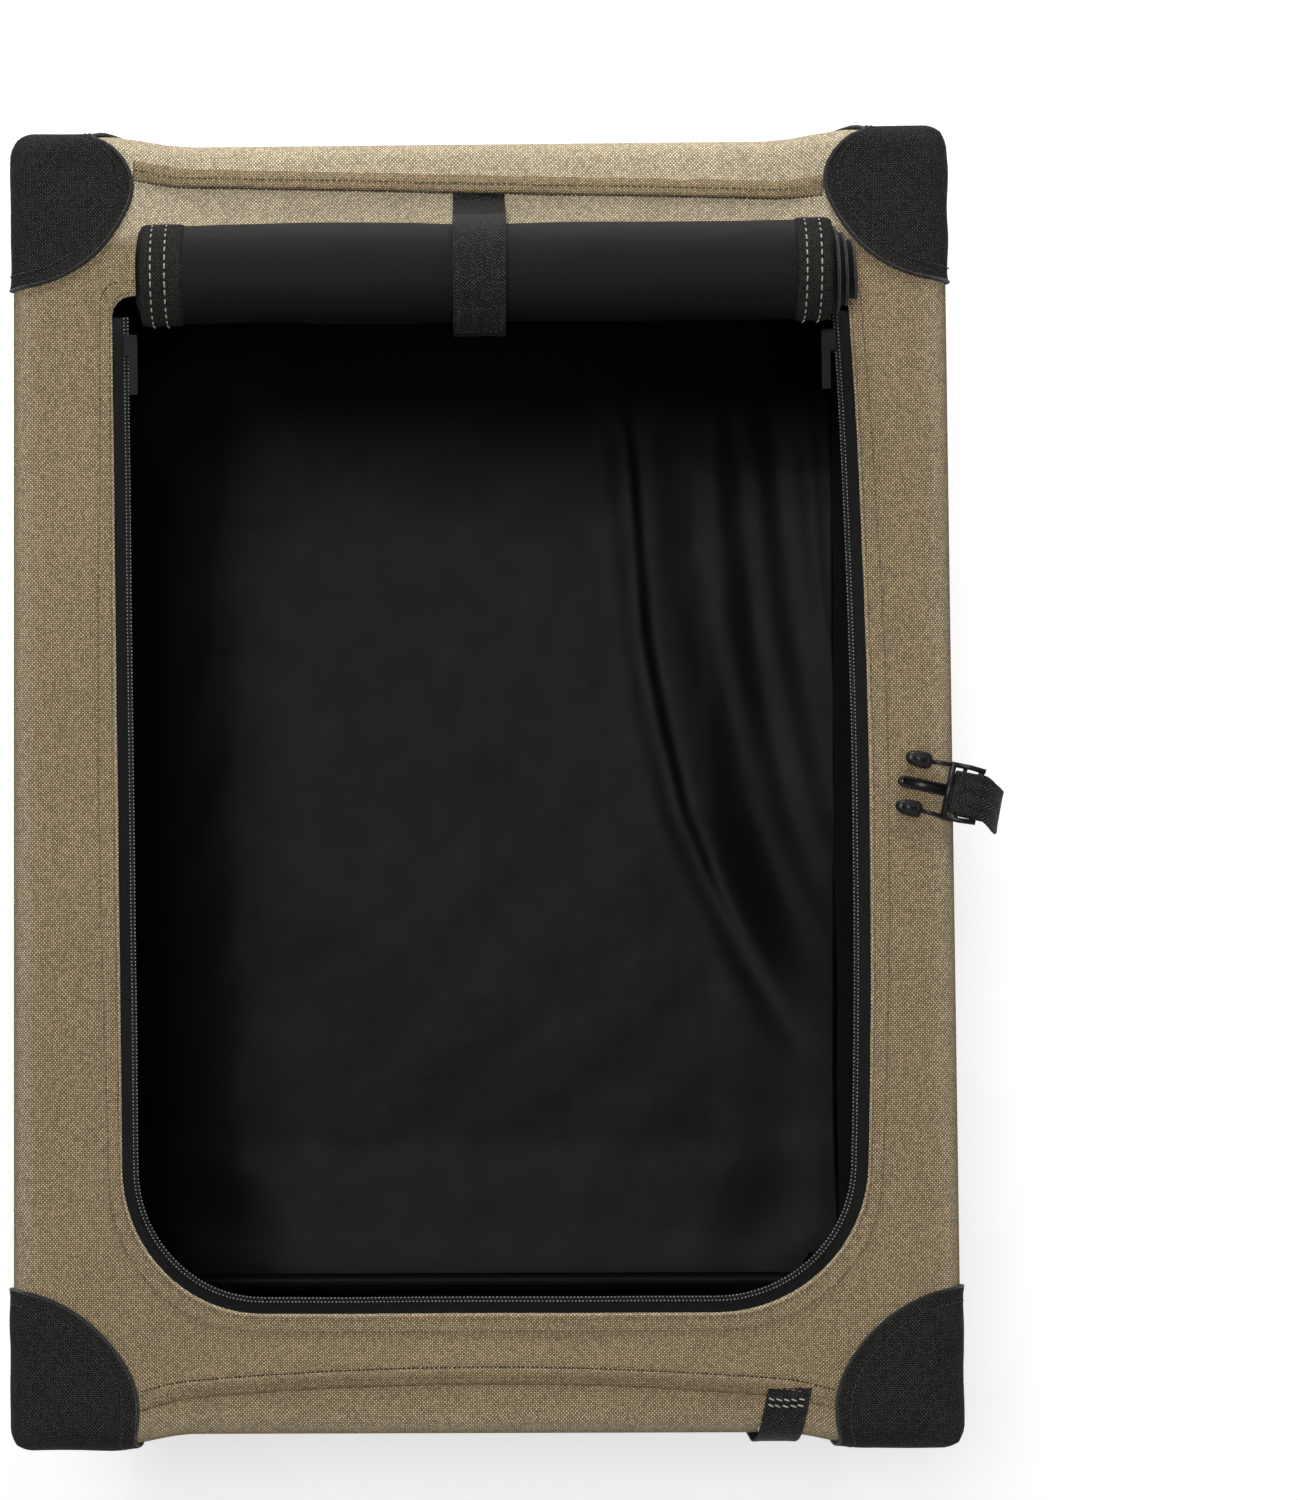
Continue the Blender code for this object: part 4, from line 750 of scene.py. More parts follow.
def roll_place(x, turns, lift=0.0):
    """A point of the wound door: turns run from 0 in the core to 4 at its sewn edge."""
    share = turns / ROLL_TURNS
    angle = -math.pi / 2 - 2 * math.pi * turns
    pinch = -.0012 * np.exp(-(((x - .001) / .03) ** 2)) * share
    soft = (.0007 * ripple(x * .5 + turns * .03, np.sin(angle) * .03 + share * .2, roll_waves) * share + pinch) + lift
    sag = 1 + .006 * np.sin(x * 21 + 1)
    half_y = (ROLL_CORE_Y + (ROLL_HALF_Y - ROLL_T - ROLL_CORE_Y) * share) * sag + soft
    half_z = ROLL_CORE_Z + (ROLL_HALF_Z - ROLL_T - ROLL_CORE_Z) * share + soft
    return np.stack([x + 0 * half_y, ROLL_Y + half_y * np.cos(angle), ROLL_Z + half_z * np.sin(angle)], -1)


turns = np.linspace(0, ROLL_TURNS, 4 * 44 + 1)
left_end = -.1935 + .0020 * turns / ROLL_TURNS - .001 * np.sin(turns * 5)
right_end = .2150 - .0160 * np.minimum(turns / (ROLL_TURNS - .9), 1) ** .9
roll_x = left_end[:, None] + (right_end - left_end)[:, None] * np.linspace(0, 1, 66)[None]
roll_points = roll_place(roll_x, np.broadcast_to(turns[:, None], roll_x.shape))
spiral = run_along(roll_points[:, 30])
roll_flat = np.stack([roll_x, np.broadcast_to(spiral[:, None], roll_x.shape)], -1)
roll_middle = np.array((0, ROLL_Y, ROLL_Z))
top(skin("rolled_door", roll_points, roll_flat, ROLL_CLOTH, thickness=.0009, centre=roll_middle),
    "black_cloth", "top_door_roll")

# Strips sewn round the outside of the roll, their stitches and the cords in its edges
LAST_TURN = (2.96, 3.98)
for side, x0, x1 in (("left", -.1912, -.1665), ("right", .1785, .1985)):
    x, t = grid(np.linspace(x0, x1, 9), np.linspace(*LAST_TURN, 60))
    rise = .0011 * smooth(np.minimum(np.abs(x - x0), np.abs(x - x1)) / .0012 + .15)
    top(skin(f"roll_band_{side}", roll_place(x, t, rise), np.stack([x, t * .18], -1), BLACK, thickness=.0006,
             centre=roll_middle + X_WAY * (x0 + x1) / 2), "black_cloth")
runs = []
for x in (-.1845, -.1765, .1838, .1920):
    t = np.linspace(LAST_TURN[0] + .01, LAST_TURN[1] - .02, 90)
    points = roll_place(np.full_like(t, x), t, .0016)
    runs.append((points, unit((points - roll_middle) * (0, 1, 1))))
top(stitches("roll_stitching", runs, WHITE_THREAD, length=.0036, pitch=.0050, radius=.00045), "black_cloth")
for k, turn_at in enumerate((.96, 1.96, 2.5, 3.2)):
    t = np.linspace(max(turn_at - .93, .02), turn_at + .03, 50)
    points = roll_place(np.interp(t, turns, right_end) + .0003, t, -.0004)
    top(tube(f"roll_edge_{k + 1}", points, .0010, BLACK_THREAD, sides=7), "black_cloth")


# ---------- webbing ----------

RIBBON_STEP = .0012
RIBBON_SHARES = np.array((-.5, -.47, -.44, -.3, -.15, 0, .15, .3, .44, .47, .5))
# Its two edges are corded, so they stand a little proud, and turn down at the very end
CROWN = .00025
RIBBON_RISE = CROWN * ((np.abs(RIBBON_SHARES) > .43) - 1.4 * (np.abs(RIBBON_SHARES) > .49))


def ribbon(name, path, width, across, body, *nodes, thickness=.0014, even=False):
    """Flat webbing along a path, with corded edges. across is its width's direction at each point."""
    path = path if even else resample(path, RIBBON_STEP)
    across = np.broadcast_to(np.asarray(across, float), path.shape)
    normal = unit(np.cross(unit(np.gradient(path, axis=0)), across))
    run, side = grid(run_along(path), RIBBON_SHARES * width)
    points = path[:, None] + across[:, None] * side[..., None] + normal[:, None] * RIBBON_RISE[None, :, None]
    strap = skin(name, points, np.stack([side, run], -1), WEBBING, thickness=thickness,
                 centre=path.mean(0) - normal.mean(0))
    place_on(strap, body, "webbing", *nodes)
    return path, normal


seam_z = COVER_TOP + WEB_GAP + WEB_T
STRAP_SLACK = .0009
over_y, over_z = ROLL_HALF_Y + STRAP_SLACK + WEB_T, ROLL_HALF_Z + STRAP_SLACK + WEB_T
arch = arc(0, 0, 1, -10, 180, 40)
strap_yz = np.concatenate([
    line((.3475, seam_z + .0002), (.3365, seam_z), 8),
    arch * (over_y, over_z) + (ROLL_Y, ROLL_Z),
    [(ROLL_Y - over_y - .0008, ROLL_Z - .004)],
])
strap_line, strap_normal = ribbon("roll_strap_webbing", np.insert(strap_yz, 0, .0005, 1), .030, X_WAY, "roll_strap",
                                  "roll_strap")
# A sewn box near its end, and a row where it starts
box = strap_line + strap_normal * .0002
runs = [(box[-26:-4] + X_WAY * x, strap_normal[-26:-4]) for x in (-.0122, .0122)]
for k in (-24, -8):
    row = line((-.0120, 0, 0), (.0130, 0, 0), 12) + box[k] * (0, 1, 1)
    runs.append((row, np.broadcast_to(strap_normal[k], row.shape)))
root_row = line((-.0130, .3440, seam_z + .0004), (.0140, .3440, seam_z + .0004), 14)
runs.append((root_row, np.tile(Z_WAY, (15, 1))))
place_on(stitches("roll_strap_stitching", runs, BLACK_THREAD), "roll_strap", "webbing")

TAB_X, TAB_START, TAB_SLANT = .171, -.3486, .22
over = EDGE_R + WEB_GAP + WEB_T
edge_y, edge_z = -RAIL_Y, COVER_TOP - EDGE_R
hang_y = edge_y - over
tab_yz = np.concatenate([
    line((TAB_START, seam_z), (edge_y, edge_z + over), 8), arc(edge_y, edge_z, over, 90, 180, 16),
    line((hang_y, edge_z), (hang_y - .0016, edge_z - .038), 12)[1:],
    [(hang_y - .0006, edge_z - .0402), (hang_y + .0012, edge_z - .0405)],
])
tab_x = TAB_X + .0012 - TAB_SLANT * np.minimum(run_along(tab_yz), .040)
tab_yz[:, 0] += .6 * bow(TAB_X, -1)
tab_line, _ = ribbon("front_tab_webbing", np.column_stack([tab_x, tab_yz]), .025, X_WAY, "front_tab", "front_tab")
x = np.linspace(-.0115, .0118, 24)
row = np.column_stack([x, -.0008 * np.sin((x + .0115) * 135), np.full(24, .0005)])
place_on(stitches("front_tab_stitching", [(tab_line[k] + row, np.tile(Z_WAY, (24, 1))) for k in (5, 8)], WHITE_THREAD,
                  length=.0036, pitch=.0043, radius=.00048, slant=-.35), "front_tab", "webbing")
knot = np.array([(0, 0, 0), (8, 6, 6), (16, -2, 9), (10, -11, 10), (2, -4, 13), (13, 8, 13), (24, 2, 4)]) * 1e-4
place_on(tube("front_tab_thread_end", knot + (.1536, -.3676, COVER_TOP - .0010), .00038, WHITE_THREAD, sides=6),
         "front_tab", "webbing")

# ---------- buckle and its straps ----------

TIP_X, BUCKLE_TURN = COVER_X - .0327, math.radians(12.5)
BAR_X, BAR_Z = .0446, COVER_TOP + WEB_GAP + .00375
turn_c, turn_s = math.cos(BUCKLE_TURN), math.sin(BUCKLE_TURN)
turn_in = np.array(((turn_c, turn_s, 0), (-turn_s, turn_c, 0), (0, 0, 1)))


def buckle_place(points):
    """From the prong half's own run, side and height to where it lies on the crate."""
    return points @ turn_in.T + (TIP_X, 0, 0)


# The strap's eye round the bar, over the edge, and down to where it is sewn on
root_z, eye, bend_r, half_t = COVER_TOP - .0262, .0024, .012, WEB_T / 2
wall_run, far_run = (COVER_X + WEB_GAP - TIP_X) / turn_c, (COVER_X + .026 - TIP_X) / turn_c
buckle_xz = chain(arc(BAR_X, BAR_Z, eye + half_t, 330, 90, 14),
                  arc(far_run - bend_r, BAR_Z + eye - bend_r, bend_r + half_t, 90, 0, 10),
                  arc(far_run - bend_r, root_z + bend_r, bend_r + half_t, 0, -70, 10),
                  np.array([(wall_run + half_t, root_z), (wall_run + half_t, root_z - .016)]))
path = np.insert(resample(buckle_xz, RIBBON_STEP), 1, 0, 1)
twist_top = BAR_Z - eye - WEB_T
straight = np.clip((twist_top - path[:, 2:]) / (twist_top - root_z), 0, 1)
path[:, 1:2] -= .0068 * smooth((path[:, :1] - BAR_X - .0014) / .016) * (1 - straight)
across = unit(turn_in[:, 1] * (1 - straight) + Y_WAY * straight)
ribbon("buckle_webbing_right", buckle_place(path), .025, across, "right_strap", "buckle_strap_right", even=True,
       thickness=.0013)


def bars(name, parts, place, material, sides=14):
    """Rounded bars in one mesh. Each has points along it, and its half width and half height at each point."""
    turn = np.linspace(0, 2 * math.pi, sides, endpoint=False)
    round_w, round_h = (np.sign(c) * np.abs(c) ** .7 for c in (np.cos(turn), np.sin(turn)))
    verts, quads, ends, count = [], [], [], 0
    for points, halves in parts:
        points = np.asarray(points, float)
        halves = np.broadcast_to(np.asarray(halves, float), (len(points), 2))
        side = unit(np.cross(Z_WAY, unit(np.gradient(points, axis=0))))
        ring = points[:, None] + side[:, None] * (round_w * halves[:, :1])[..., None]
        ring[..., 2] += round_h * halves[:, 1:]
        rows = count + np.arange(len(points) * sides).reshape(-1, sides)
        quads.append(quads_of(np.hstack([rows, rows[:, :1]]).T))
        ends += [rows[:1, ::-1], rows[-1:]]
        verts.append(ring.reshape(-1, 3))
        count += rows.size
    mesh = raw_mesh(name, place(np.vstack(verts)), [np.vstack(quads), *ends])
    return add_object(name, mesh, material)


# The prong half from its tips back, with heights from the middle of its bars
share, half = np.array(((0, .0008), (.05, .0022), (.15, .0034), (.32, .0042), (.6, .0046), (.86, .0046), (.96, .0036),
                        (1, .0018))).T
parts = []
for s in (-1, 1):
    head = np.column_stack([.0005 + .0150 * share, np.full(8, s * .0142), np.zeros(8)])
    parts += [
        (head, np.column_stack([half, np.minimum(half, .0026)])),
        ([(.004, s * .0142, .0022), (.0125, s * .0142, .0024)], (.0014, .0007)),
        ([(.0145, s * .0140, 0), (.021, s * .0146, 0), (.0285, s * .0152, 0)], (.0012, .0016)),
        ([(.0275, s * .0152, 0), (.038, s * .0154, 0), (.0466, s * .0148, 0)], (.0015, .0021)),
    ]
guide = np.vstack([[(.0285, -.0025), (.0030, -.0024)], arc(.0022, 0, .0024, 270, 90, 8),
                   [(.0030, .0024), (.0285, .0025)]])
parts += [
    (np.insert(guide, 2, 0, 1), (.0009, .0019)),
    ([(.0020, 0, -.0009), (.0285, 0, -.0009)], (.0019, .0007)),
    ([(.0282, -.0165, 0), (.0282, .0165, 0)], (.0017, .0023)),
    ([(.0352, -.0156, 0), (.0352, .0156, 0)], (.0012, .0014)),
    ([(BAR_X, -.0152, 0), (BAR_X, .0152, 0)], (.0017, .0017)),
]
prongs = bars("buckle_prongs", parts, lambda points: buckle_place(points + Z_WAY * BAR_Z), PLASTIC)
place_on(prongs, "right_strap", "plastic", "buckle_male")
end_xz = ((.0305, -.0010), (.0318, .0016), (.0345, .0034), (.0370, .0034), (.0415, .0040), (BAR_X + .0012, .0042))
ribbon("buckle_webbing_end", buckle_place(np.array([(x, 0, BAR_Z + z) for x, z in end_xz])), .0245, turn_in[:, 1],
       "right_strap", thickness=.0013)
low, high = (np.array(c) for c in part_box("buckle_strap_low"))
low_y = (low[1] + high[1]) / 2
low_path = np.array([(low[0] + .0015, low_y, high[2]), (low[0] + .0015, low_y, high[2] - .009),
                     (high[0] - .0001, low_y, low[2] + .006), (high[0] - .0001, low_y, low[2])])
ribbon("buckle_webbing_low", low_path, .025, Y_WAY, "low_strap", "buckle_strap_low")

# ---------- walls ----------

wall_waves = waves(9, .08, .3)


def slack(u, z, seed):
    """How far a wall's cloth lies in from flat: a soft hollow and a few waves, none at its edges."""
    edge = smooth((z - WALL_LOW) / .05) * smooth((WALL_HIGH - z) / .05) * smooth((RAIL_Y - .01 - np.abs(u)) / .06)
    return edge * (.0022 + .0008 * ripple(u + seed, z, wall_waves))


def side_place(sign):
    def place(flat, lift=0.0):
        u, z = flat[..., 0], flat[..., 1]
        angle = np.maximum(np.abs(u) - RAIL_Y, 0) / EDGE_R
        x = sign * (RAIL_X + (EDGE_R + lift) * np.cos(angle) - slack(u, z, sign))
        y = np.sign(u) * (np.minimum(np.abs(u), RAIL_Y) + (EDGE_R + lift) * np.sin(angle))
        return settle(np.stack([x, y, z + 0 * u], -1))
    return place


def end_place(sign):
    def place(flat, lift=0.0):
        u, z = flat[..., 0], flat[..., 1]
        y = sign * (COVER_Y + lift - slack(u * RAIL_Y / RAIL_X, z, 7 + sign))
        return settle(np.stack([u, y + 0 * u, z + 0 * u], -1))
    return place


def rounded(low, high, low_r, high_r):
    """A rectangle with round corners, as an even loop from its lower right corner."""
    (x0, z0), (x1, z1) = low, high
    parts = [arc(x1 - low_r, z0 + low_r, low_r, -90, 0, 12), arc(x1 - high_r, z1 - high_r, high_r, 0, 90, 12),
             arc(x0 + high_r, z1 - high_r, high_r, 90, 180, 12), arc(x0 + low_r, z0 + low_r, low_r, 180, 270, 12)]
    return resample(np.concatenate(parts), .008, closed=True)


def inset_loop(points, inset):
    """A closed loop moved in by a distance, along its own normals."""
    way = unit(np.roll(points, -1, 0) - np.roll(points, 1, 0))
    return points + np.stack([-way[:, 1], way[:, 0]], 1) * inset


def stretch_to(loop, half_u, z0, z1):
    """Where lines out from a loop's middle meet a rectangle."""
    middle = np.array((0, (z0 + z1) / 2))
    way = loop - middle
    half = np.array((half_u, (z1 - z0) / 2))
    return middle + way / np.max(np.abs(way) / half, axis=1, keepdims=True)


def holed_wall(name, place, loop, half_u, node):
    """A wall with an opening, from the opening's hem out to the wall's seams."""
    flat = ring_grid(loop, stretch_to(loop, half_u, WALL_LOW, WALL_HIGH), (0, .001, .004, .010, .012), 26)
    falls(skin(name, place(flat), flat, TAN, LINING, closed=True), "tan_cloth", node)


def ring_band(name, place, loop, inner, outer, lift, material, slot, mover, steps=7):
    """A flat band that follows a loop, from an inner to an outer offset."""
    offsets = np.linspace(inner, outer, steps)
    flat = np.stack([inset_loop(loop, -d) for d in offsets], 1)
    rise = lift * smooth(np.minimum(np.abs(offsets - inner), np.abs(offsets - outer)) / .0012 + .2)
    points, _ = on(place, flat, rise[None, :, None])
    mover(skin(name, points, flat, material, closed=True, thickness=.0006), slot)


def sewn_round(name, place, loops, lift, material, slot, mover):
    """Stitches along closed loops on a wall."""
    runs = [on(place, closed_run(loop), lift) for loop in loops]
    mover(stitches(name, runs, material), slot)


WINDOW = ((-.235, .215), (.235, .435))
for sign, side in ((-1, "left"), (1, "right")):
    place = side_place(sign)
    window = rounded(*WINDOW, .04, .04)
    holed_wall(f"side_cloth_{side}", place, window, RAIL_Y + ARC_LENGTH, f"wall_{side}")
    ring_band(f"window_binding_{side}", place, window, -.003, .010, .0010, BLACK, "black_cloth", falls)
    flat = np.stack(grid(np.linspace(-.246, .246, 60), np.linspace(.204, .446, 30)), -1)
    net = skin(f"window_net_{side}", place(flat) - X_WAY * sign * .0017, flat, NET, thickness=0)
    falls(net, "window_mesh", f"window_mesh_{side}")
    sewn_round(f"window_stitching_{side}", place, [inset_loop(window, -d) for d in (.0015, .0080)], .0011, BLACK_THREAD,
               "black_cloth", falls)

DOOR_HALF, DOOR_LOW, DOOR_LOW_R = .182, .062, .075
front = end_place(-1)
doorway = rounded((-DOOR_HALF, DOOR_LOW), (DOOR_HALF, .455), DOOR_LOW_R, .010)
holed_wall("front_cloth", front, doorway, RAIL_X, "wall_front")
flat = np.stack(grid(np.linspace(-RAIL_X, RAIL_X, 60), np.linspace(WALL_LOW, WALL_HIGH, 60)), -1)
falls(skin("rear_cloth", end_place(1)(flat), flat, TAN, LINING), "tan_cloth", "wall_rear")


def door_moves(obj, slot, *nodes):
    return flattens(place_on(obj, "front_door", slot, *nodes), .4542, .02)


door_loop = inset_loop(doorway, .0008)
ring_band("front_door_border", front, door_loop, -.030, 0, .0004, TAN, "tan_cloth", door_moves, steps=12)
ring_band("front_door_binding", front, door_loop, -.034, -.022, .0014, BLACK, "black_cloth", door_moves)
ring_band("front_door_tape", front, door_loop, -.008, 0, .0010, TAPE, "zip_tape", door_moves)
# The net ends under the door's border, and narrows with the doorway's two round corners
BORDER = .024
u, z = grid(np.linspace(-1, 1, 50), DOOR_LOW + BORDER + np.linspace(0, 1, 54) * (.393 - 2 * BORDER))
below = np.clip(DOOR_LOW + DOOR_LOW_R - z, 0, DOOR_LOW_R)
side_in = DOOR_LOW_R - np.sqrt(np.clip(DOOR_LOW_R ** 2 - below ** 2, 0, None))
flat = np.stack([u * (DOOR_HALF - BORDER - np.clip(side_in - .006, 0, 1)), z], -1)
door_moves(skin("front_door_net", front(flat) + Y_WAY * .0012, flat, NET, thickness=0), "window_mesh", "front_door")

coil_run = on(front, closed_run(inset_loop(resample(door_loop, .004, closed=True), .001)), .0012)
door_moves(stitches("front_zip_coil", [coil_run], COIL, length=.0022, pitch=.0014, radius=.0005, slant=30.0),
           "zip_tape")
sewn_round("front_stitching", front, [inset_loop(doorway, -d) for d in (.0035, .012)], .0009, TAN_THREAD, "tan_cloth",
           falls)
sewn_round("front_door_stitching", front, [inset_loop(door_loop, d) for d in (.0235, .0325)], .0017, BLACK_THREAD,
           "black_cloth", door_moves)


def outline_path(z, lift):
    """A path round the crate at one height, just off its cover."""
    r = EDGE_R + lift
    corners = [arc(x, y, r, start, start + 90, 8) for x, y, start in
               ((RAIL_X, RAIL_Y, 0), (-RAIL_X, RAIL_Y, 90), (-RAIL_X, -RAIL_Y, 180), (RAIL_X, -RAIL_Y, 270))]
    path = resample(np.concatenate([corners[3][-1:], *corners[:3], corners[3][:-1]]), .006, closed=True)
    return settle(np.column_stack([path, np.full(len(path), z)]))


def edge_runs(z, lift, under=0.0):
    """The four straight parts of that path between the corner caps, each with its outward normals."""
    path = outline_path(z, lift)
    for name, axis, sign, half, flush in (("left", 0, -1, .285, COVER_X), ("right", 0, 1, .285, COVER_X),
                                          ("front", 1, -1, .184, COVER_Y - BOW_FRONT),
                                          ("rear", 1, 1, .184, COVER_Y - BOW_FRONT)):
        run = path[(np.abs(path[:, 1 - axis]) < half + under) & (path[:, axis] * sign > flush - .002)]
        run = run[np.argsort(run[:, 1 - axis])]
        yield name, run, np.tile(sign * (X_WAY, Y_WAY)[axis], (len(run), 1))


for name, run, _ in edge_runs(LID_LOW, .0006, .004):
    top(tube(f"top_piping_{name}", run, .0016, TAN_THREAD), "tan_cloth")
for name, run, _ in edge_runs(TRAY_HIGH, .0006, .004):
    place_on(tube(f"base_piping_{name}", run, .0016, BLACK_THREAD), "base", "black_cloth")
rows = [(run, out) for _, run, out in edge_runs(.5045, .0002)]
top(stitches("top_edge_stitching", rows, TAN_THREAD), "tan_cloth")

# ---------- floor tray ----------

tray_reach = ARC_LENGTH + (TRAY_HIGH - COVER_LOW - EDGE_R)


def tray_lines(half, count):
    """Lines across the tray, and up its turned sides at both ends."""
    turned = half + tray_reach * np.linspace(0, 1, 11)[1:]
    return np.concatenate([-turned[::-1], np.linspace(-half, half, count), turned])


u, v = grid(tray_lines(RAIL_X, 40), tray_lines(RAIL_Y, 56))
x, y, up = over_edges(u, v)
pad = smooth((.185 - np.abs(u)) / .004 + .5) * smooth((.345 - np.abs(v)) / .004 + .5)
tray = skin("floor_tray", np.stack([x, y, COVER_LOW + up - pad * .0016], -1), np.stack([u, v], -1), BLACK, LINING)
place_on(tray, "base", "black_cloth", "floor_panel")

# ---------- black lining inside ----------

# The deepest fold's run over the floor, from its front to its rear
MAIN_FOLD = np.array(((-.3600, .33), (-.2280, .2634), (-.1750, .2290), (-.1200, .1960), (-.0700, .1720),
                      (-.0150, .1507), (.0500, .1370), (.1215, .1238), (.1900, .1170), (.2580, .1123), (.2900, .108)))
# Each fold's distance right of the deepest one, its height and its width
FOLDS = ((0, .0060, .0075), (.050, .0058, .014), (.082, .0052, .011), (.113, .0046, .009), (.134, .0036, .007))
FLOOR_Z = .0062
floor_waves = waves(10, .05, .22)
fine_waves = waves(10, .012, .04)


def fold_bundle(x, y):
    """Tension folds that run from the rear, side by side, out to the right side."""
    away = x - np.interp(y, MAIN_FOLD[:, 0], MAIN_FOLD[:, 1])
    height = .040 * np.clip(away / .16, 0, 1) ** 1.2
    for place, tall, wide in FOLDS:
        near = away - place + .0012 * np.sin(y * 19 + place * 90)
        height = height + tall * np.exp(-((near / np.where(near < 0, 1.8 * wide, wide)) ** 2))
    return height * smooth((y + .27) / .28) * (1 - smooth((y - .235) / .11))


def lining_height(x, y):
    h = fold_bundle(x, y) + .12 * fold_bundle(-x + .02, y * .9 - .02) * smooth((-x) / .05)
    on_floor = smooth((.252 - np.abs(x)) / .080) * smooth((.360 - np.abs(y)) / .100)
    soft = .0011 * ripple(x, y, floor_waves) + .00009 * ripple(x, y, fine_waves)
    over_rail = .0180 * (1 - on_floor)
    return FLOOR_Z + .0006 + h * (1 - .25 * (1 - on_floor)) + (soft + .0011) * on_floor + over_rail


u, v = grid(np.linspace(-.2655, .2655, 190), np.linspace(-.3725, .3725, 210))
corner = smooth(1.2 - np.hypot((.245 - np.abs(u)) / .09, (.352 - np.abs(v)) / .09))
height = np.minimum(lining_height(u, v) + corner * .0185, .095)
lining = skin("floor_lining", np.stack([u, v, height], -1), np.stack([u, v], -1), LINING, thickness=.0008, inward=True)
falls(lining, "lining", "floor_liner", keep=.25, anchor=FLOOR_Z)

# How far in from the wall the lining hangs, and at what height
LINING_GAP = ((.0210, .507), (.0140, .500), (.0080, .480), (.0062, .30), (.0058, .10), (.0052, .030))


def hung_lining(name, place, half_u, way, seed):
    """Lining that hangs from the top to the floor, just in from a wall and along the same waves."""
    profile = resample(LINING_GAP, .008)
    u, z = grid(np.linspace(-half_u, half_u, 90) * way, profile[:, 1])
    flat = np.stack([u, z], -1)
    points = place(flat, -profile[:, 0] - .0006 * (ripple(u + seed, z * .5, floor_waves) + 1.2))
    falls(skin(name, points, flat, LINING, thickness=.0006, inward=True), "lining", anchor=.030)


for sign, side, end in ((1, "right", "rear"), (-1, "left", "front")):
    hung_lining(f"side_lining_{side}", side_place(sign), .345, sign, 1 + sign)
    hung_lining(f"end_lining_{end}", end_place(sign), .2540, -sign, 4 + sign)

# ---------- finishes on the solids that stay ----------

for name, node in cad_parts.items():
    if node.hide_render:
        continue
    if name.startswith(("base_rail", "top_rail")) or name.endswith("_posts"):
        material = STEEL
    elif name.startswith("zip_slider"):
        material = DARK_PLATED
    elif "_pin_" in name:
        material = PLATED
    else:
        material = PLASTIC
    for held in node.material_slots:
        held.material = material

# ---------- sheets ----------

SIDES, ENDS = ("left", "right"), ("front", "rear")
cloth("top_cover", "stretched", ["top_rail_left", "top_rail_right", "bowed_rail_front", "bowed_rail_rear"],
      "end_seam_front", "end_seam_rear", "top_stitching", "seam_stitching", "zip_tape", "zip_cord", "zip_coil",
      "zip_stitching", "top_edge_stitching", *(f"top_piping_{where}" for where in SIDES + ENDS))
for level, under in (("top", "top_cover"), ("base", "floor_tray")):
    for end in ENDS:
        for side in SIDES:
            name = f"{level}_corner_{end}_{side}"
            cloth(name, "stretched", [under], f"{name}_binding")
cloth("rolled_door", "folded", ["top_cover"], "roll_band_left", "roll_band_right", "roll_stitching",
      *(f"roll_edge_{k}" for k in range(1, 5)))
for side in SIDES:
    rails = [f"top_rail_{side}", f"base_rail_{side}"]
    cloth(f"side_cloth_{side}", "stretched", rails, f"window_binding_{side}", f"window_stitching_{side}")
    cloth(f"window_net_{side}", "stretched", [f"side_cloth_{side}"])
    cloth(f"side_lining_{side}", "hung", rails[:1])
cloth("front_cloth", "stretched", ["bowed_rail_front", "base_rail_front"], "front_stitching")
cloth("rear_cloth", "stretched", ["bowed_rail_rear", "base_rail_rear"])
cloth("front_door_net", "hung", ["top_cover"], "front_door_border", "front_door_binding", "front_door_tape",
      "front_door_stitching", "front_zip_coil")
cloth("floor_tray", "stretched", [f"base_rail_{where}" for where in SIDES + ENDS],
      *(f"base_piping_{where}" for where in SIDES + ENDS))
cloth("floor_lining", "laid", ["floor_tray"])
for end in ENDS:
    cloth(f"end_lining_{end}", "hung", [f"bowed_rail_{end}"])

# ---------- stage, light and camera ----------

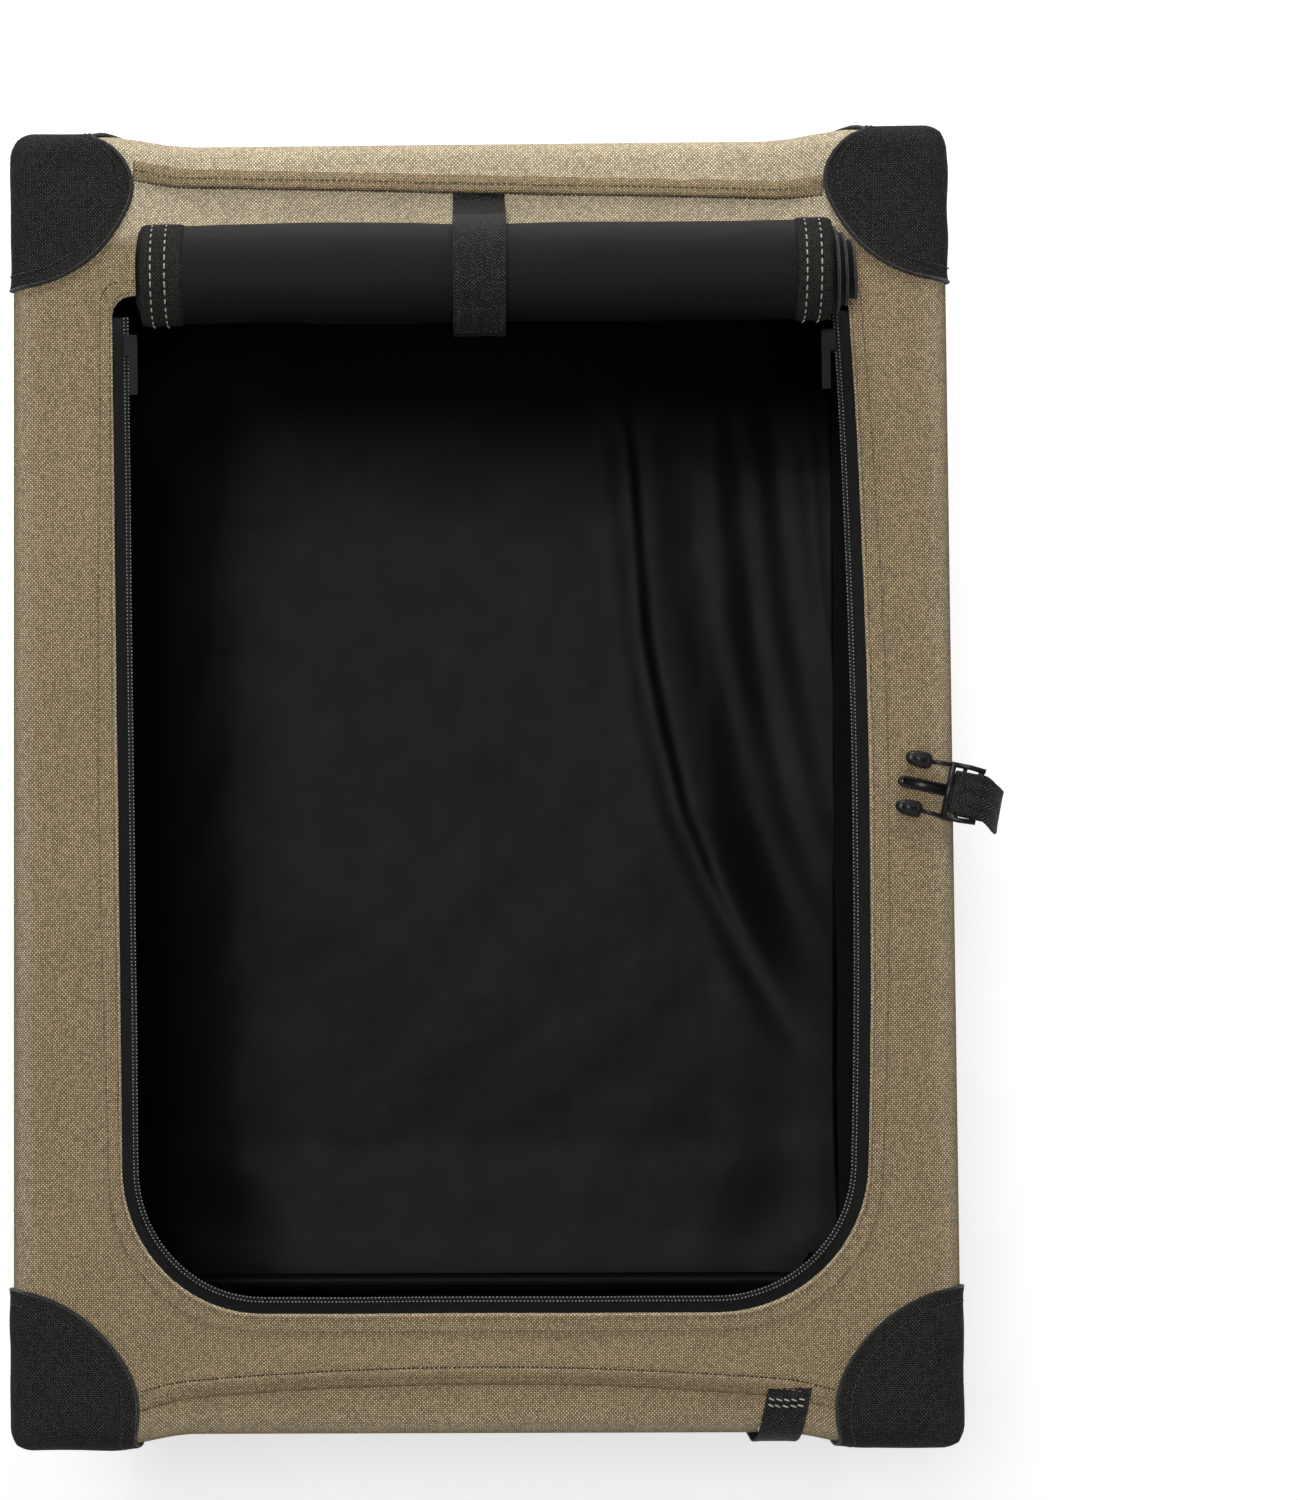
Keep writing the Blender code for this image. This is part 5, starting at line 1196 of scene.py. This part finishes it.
def stage_material():
    """A pale floor with a glow of its own for the camera, which turns white far from the crate."""
    g = Graph("pale_floor", .9, .1)
    g.put["Base Color"].default_value = (.80, .80, .80, 1)
    path = g.node("LightPath").outputs
    seen = g.math("MAXIMUM", path["Is Camera Ray"],
                  g.math("MAXIMUM", path["Is Glossy Ray"], path["Is Transmission Ray"]))
    position = g.node("NewGeometry").outputs["Position"]
    far = g.node("VectorMath", {0: position}, operation="LENGTH").outputs["Value"]
    reach = {"From Min": 1.0, "From Max": 1.9, "To Min": .57, "To Max": 1.0}
    share = g.node("MapRange", {"Value": far, **reach}).outputs["Result"]
    glow = g.node("Emission", {"Color": (1, 1, 1, 1), "Strength": share}).outputs[0]
    nothing = g.node("Emission", {"Color": (0, 0, 0, 1), "Strength": 0.0}).outputs[0]
    shown = g.node("MixShader", {0: seen, 1: nothing, 2: glow}).outputs[0]
    both = g.node("AddShader", {0: g.nodes["Principled BSDF"].outputs[0], 1: shown}).outputs[0]
    g.join(both, g.nodes["Material Output"].inputs["Surface"])
    return g.material


bpy.ops.mesh.primitive_plane_add(size=14, location=(0, 0, -.0005))
floor = bpy.context.object
floor.name = "studio_floor"
floor.data.materials.append(stage_material())

# The camera sees white round the crate, which itself gets only a little light from there
WORLD_LIGHT = .14
world = bpy.data.worlds.new("studio")
bpy.context.scene.world = world
world.use_nodes = True
nodes, links = world.node_tree.nodes, world.node_tree.links
nodes.clear()
mix = nodes.new("ShaderNodeMixShader")
links.new(nodes.new("ShaderNodeLightPath").outputs["Is Camera Ray"], mix.inputs[0])
for slot, strength in ((1, WORLD_LIGHT), (2, 1)):
    background = nodes.new("ShaderNodeBackground")
    background.inputs["Color"].default_value = (1, 1, 1, 1)
    background.inputs["Strength"].default_value = strength
    links.new(background.outputs[0], mix.inputs[slot])
links.new(mix.outputs[0], nodes.new("ShaderNodeOutputWorld").inputs["Surface"])


def area_light(name, place, target, size, watts):
    light = bpy.data.lights.new(name, "AREA")
    light.shape, light.size, light.energy = "DISK", size, watts
    obj = bpy.data.objects.new(name, light)
    obj.location = place
    obj.rotation_euler = (Vector(target) - Vector(place)).to_track_quat("-Z", "Y").to_euler()
    bpy.context.scene.collection.objects.link(obj)


area_light("overhead_light", (-.25, .30, 3.1), (0, 0, .4), .55, 30)
area_light("rear_light", (0, 2.7, 1.55), (0, .2, .5), 1.1, 46)
area_light("front_fill", (.3, -2.4, 2.1), (0, 0, .3), 1.8, 7)

camera = bpy.data.cameras.new("photo_camera")
camera.lens = 66.7
camera.sensor_width = 36
camera.shift_x, camera.shift_y = .14811, -.02196
camera.clip_start, camera.clip_end = .05, 50
viewer = bpy.data.objects.new("photo_camera", camera)
viewer.location = (-.0061, -.02924, 2.12606)
viewer.rotation_euler = (.04207, .01613, -.00635)
bpy.context.scene.collection.objects.link(viewer)
bpy.context.scene.camera = viewer
bpy.context.scene.view_settings.view_transform = "Standard"
